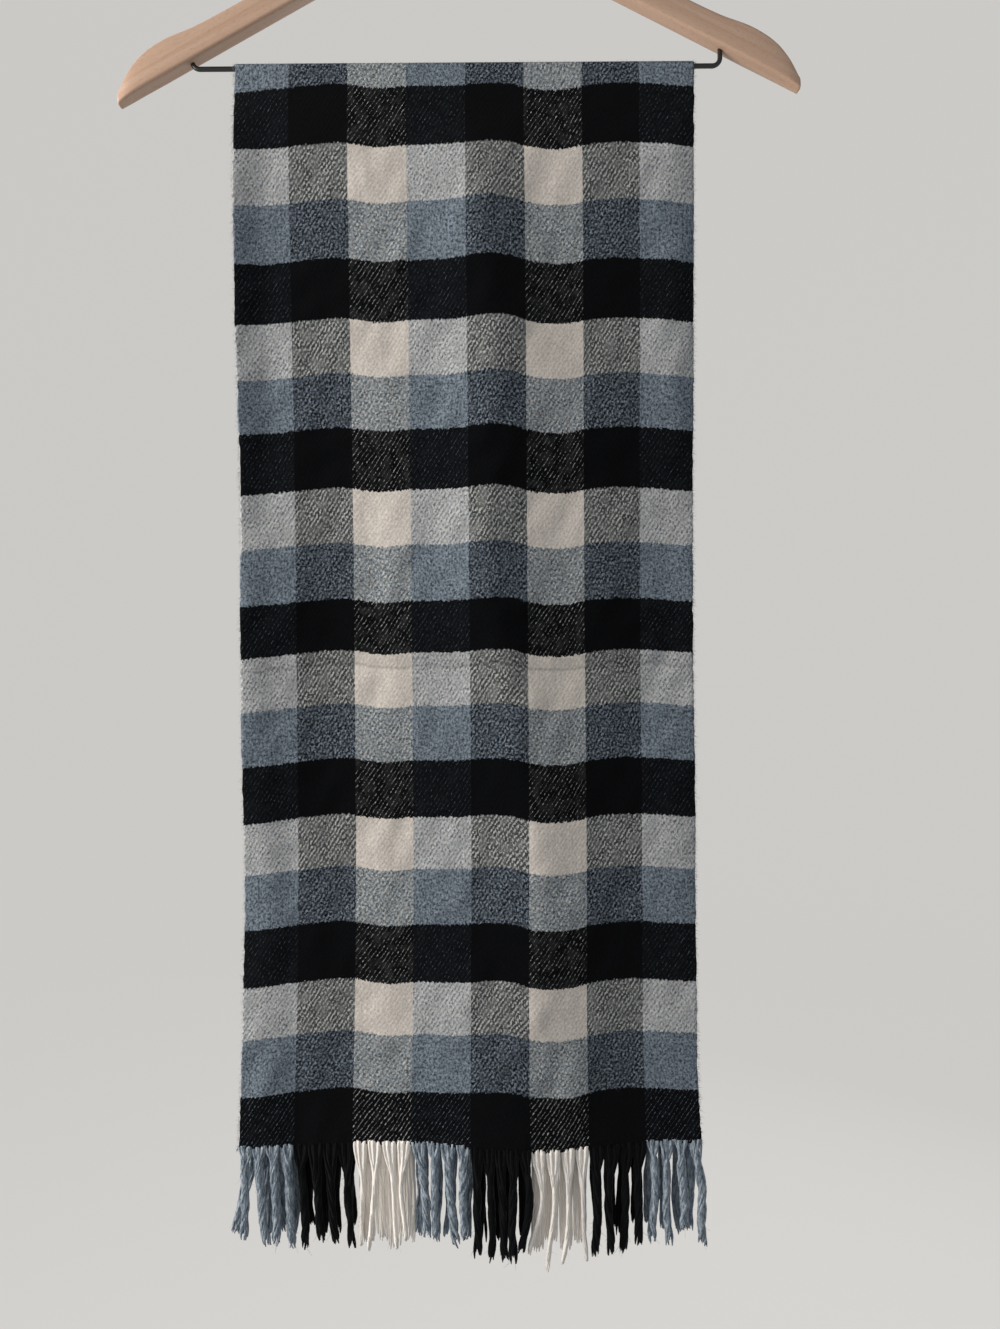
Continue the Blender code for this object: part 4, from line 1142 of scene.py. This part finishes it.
print("cloth")
scarfCloth = makeCloth()
clothMaterial = makeCheckCloth()
scarfCloth.data.materials.append(clothMaterial)
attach(scarfCloth, "root")
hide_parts("scarf_front", "scarf_fold", "scarf_back")

print("nap")
scarfNap = makeNap()
scarfNap.data.materials.append(clothMaterial)
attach(scarfNap, "root")

print("tassels")
yarnMaterials = {yarnName: makeTasselYarn(yarnName) for yarnName in yarns}
backDice = random.Random(tassels["seed"])
fringe = []
for index, (leans, bulges, lengths) in enumerate(frontTassels):
    yarnName = cloth["stripeYarns"][index]
    fringe += makeFringe(frontDrop, index, leans, bulges, lengths, yarnName, yarnMaterials)
    lean, spread = tassels["backLean"], tassels["backSpread"]
    leans = [backDice.uniform(-lean, lean) for _ in range(4)]
    if index == 0:
        leans[0] = tassels["flick"]
    length = tassels[yarnName]["backLength"]
    lengths = [length + backDice.uniform(-1, 1) * spread for _ in range(4)]
    fringe += makeFringe(backDrop, index, leans, (0, 0, 0, 0), lengths, yarnName, yarnMaterials)

print("hanger")
hangerWood = makeWood()
hangerWood.data.materials.append(makeBeech())
hangerBar = makeWire("hangerBar", barPoints(), hanger["barThickness"], False)
hangerBar.data.materials.append(makeEnamel())
hangerHook = makeWire("hangerHook", hookPoints(), hanger["hookThickness"], True)
hangerHook.data.materials.append(makeNickel())
for piece, node, slot in ((hangerWood, "hanger_body", "hanger_wood"),
                          (hangerBar, "hanger_bar", "bar_enamel"),
                          (hangerHook, "hanger_hook", "hook_nickel")):
    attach(piece, "root")
    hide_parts(node)

print("studio")
studio = {
    "colour": "#7d7b79",
    "glowColour": "#c9c7c3",
    "glow": 0.91,
    "floorHeight": -1.75,
    "floorRadius": 3.2,
    "curveRadius": 1.5,
    "curveSteps": 16,
    "turns": 96,                # sides round the bowl
    "wallTop": 3.4,
    "skyColour": "#f1f4f8",
    "skyStrength": 0.36,
    "keyPlace": (-1.17, -0.46, -0.33),
    "keySize": (0.8, 1.1),
    "keyPower": 23.0,
    "keyColour": "#fffaf4",
    "backPlace": (1.1, 1.5, -0.2),
    "backSize": (1.2, 1.4),
    "backPower": 14.0,
    "backColour": "#ffffff",
    "aim": (0.0, 0.0, -0.55),
}


def makeStudio():
    # A seamless pale bowl: floor, curve and wall in one
    profile = [(0.01, studio["floorHeight"]), (studio["floorRadius"], studio["floorHeight"])]
    for step in range(1, studio["curveSteps"] + 1):
        angle = math.radians(90 * step / studio["curveSteps"])
        profile.append((studio["floorRadius"] + studio["curveRadius"] * math.sin(angle),
                        studio["floorHeight"] + studio["curveRadius"] * (1 - math.cos(angle))))
    profile.append((profile[-1][0], studio["wallTop"]))
    turns = studio["turns"]
    points = []
    for r, z in profile:
        for k in range(turns):
            angle = 2 * math.pi * k / turns
            points.append((1000 * r * math.cos(angle), 1000 * r * math.sin(angle), 1000 * z))
    faces = []
    for low in range(0, (len(profile) - 1) * turns, turns):
        for k in range(turns):
            n = (k + 1) % turns
            faces.append((low + k, low + n, low + turns + n, low + turns + k))
    faces.append(tuple(range(turns - 1, -1, -1)))
    bowl = makeMesh("studioBowl", points, faces)
    made, _, shader = startMaterial("mattStudioPaper")
    shader.inputs["Base Color"].default_value = linearColour(studio["colour"])
    shader.inputs["Roughness"].default_value = 1.0
    shader.inputs["Specular IOR Level"].default_value = 0.0
    shader.inputs["Emission Color"].default_value = linearColour(studio["glowColour"])
    shader.inputs["Emission Strength"].default_value = studio["glow"]
    bowl.data.materials.append(made)
    # The sky and the panels alone light the scarf
    bowl.visible_diffuse = False
    bowl.visible_shadow = False


def addPanel(name, place, size, power, colour):
    lamp = bpy.data.lights.new(name, "AREA")
    lamp.shape = "RECTANGLE"
    lamp.size, lamp.size_y = size
    lamp.energy = power
    lamp.color = linearColour(colour)[:3]
    panel = bpy.data.objects.new(name, lamp)
    panel.location = place
    towards = Vector(studio["aim"]) - Vector(place)
    panel.rotation_euler = towards.to_track_quat("-Z", "Y").to_euler()
    panel.visible_camera = False
    bpy.context.scene.collection.objects.link(panel)


makeStudio()
for side in ("key", "back"):
    panel = [studio[side + part] for part in ("Place", "Size", "Power", "Colour")]
    addPanel(side + "Panel", *panel)
sky = bpy.data.worlds.new("studioSky")
sky.use_nodes = True
sky.node_tree.nodes["Background"].inputs["Color"].default_value = linearColour(studio["skyColour"])
sky.node_tree.nodes["Background"].inputs["Strength"].default_value = studio["skyStrength"]
bpy.context.scene.world = sky
bpy.context.scene.view_settings.view_transform = "Standard"

print("camera")
cameraPlace = {"location": (0.0263, -0.6698, -0.568), "down": 1.467, "roll": -0.0066, "lens": 27.09}
cameraData = bpy.data.cameras.new("camera")
cameraData.lens = cameraPlace["lens"]
cameraData.sensor_width = 36.0
camera = bpy.data.objects.new("camera", cameraData)
camera.matrix_world = (Matrix.Translation(cameraPlace["location"])
                       @ Matrix.Rotation(math.radians(90 - cameraPlace["down"]), 4, "X")
                       @ Matrix.Rotation(cameraPlace["roll"], 4, "Z"))
bpy.context.scene.collection.objects.link(camera)
bpy.context.scene.camera = camera
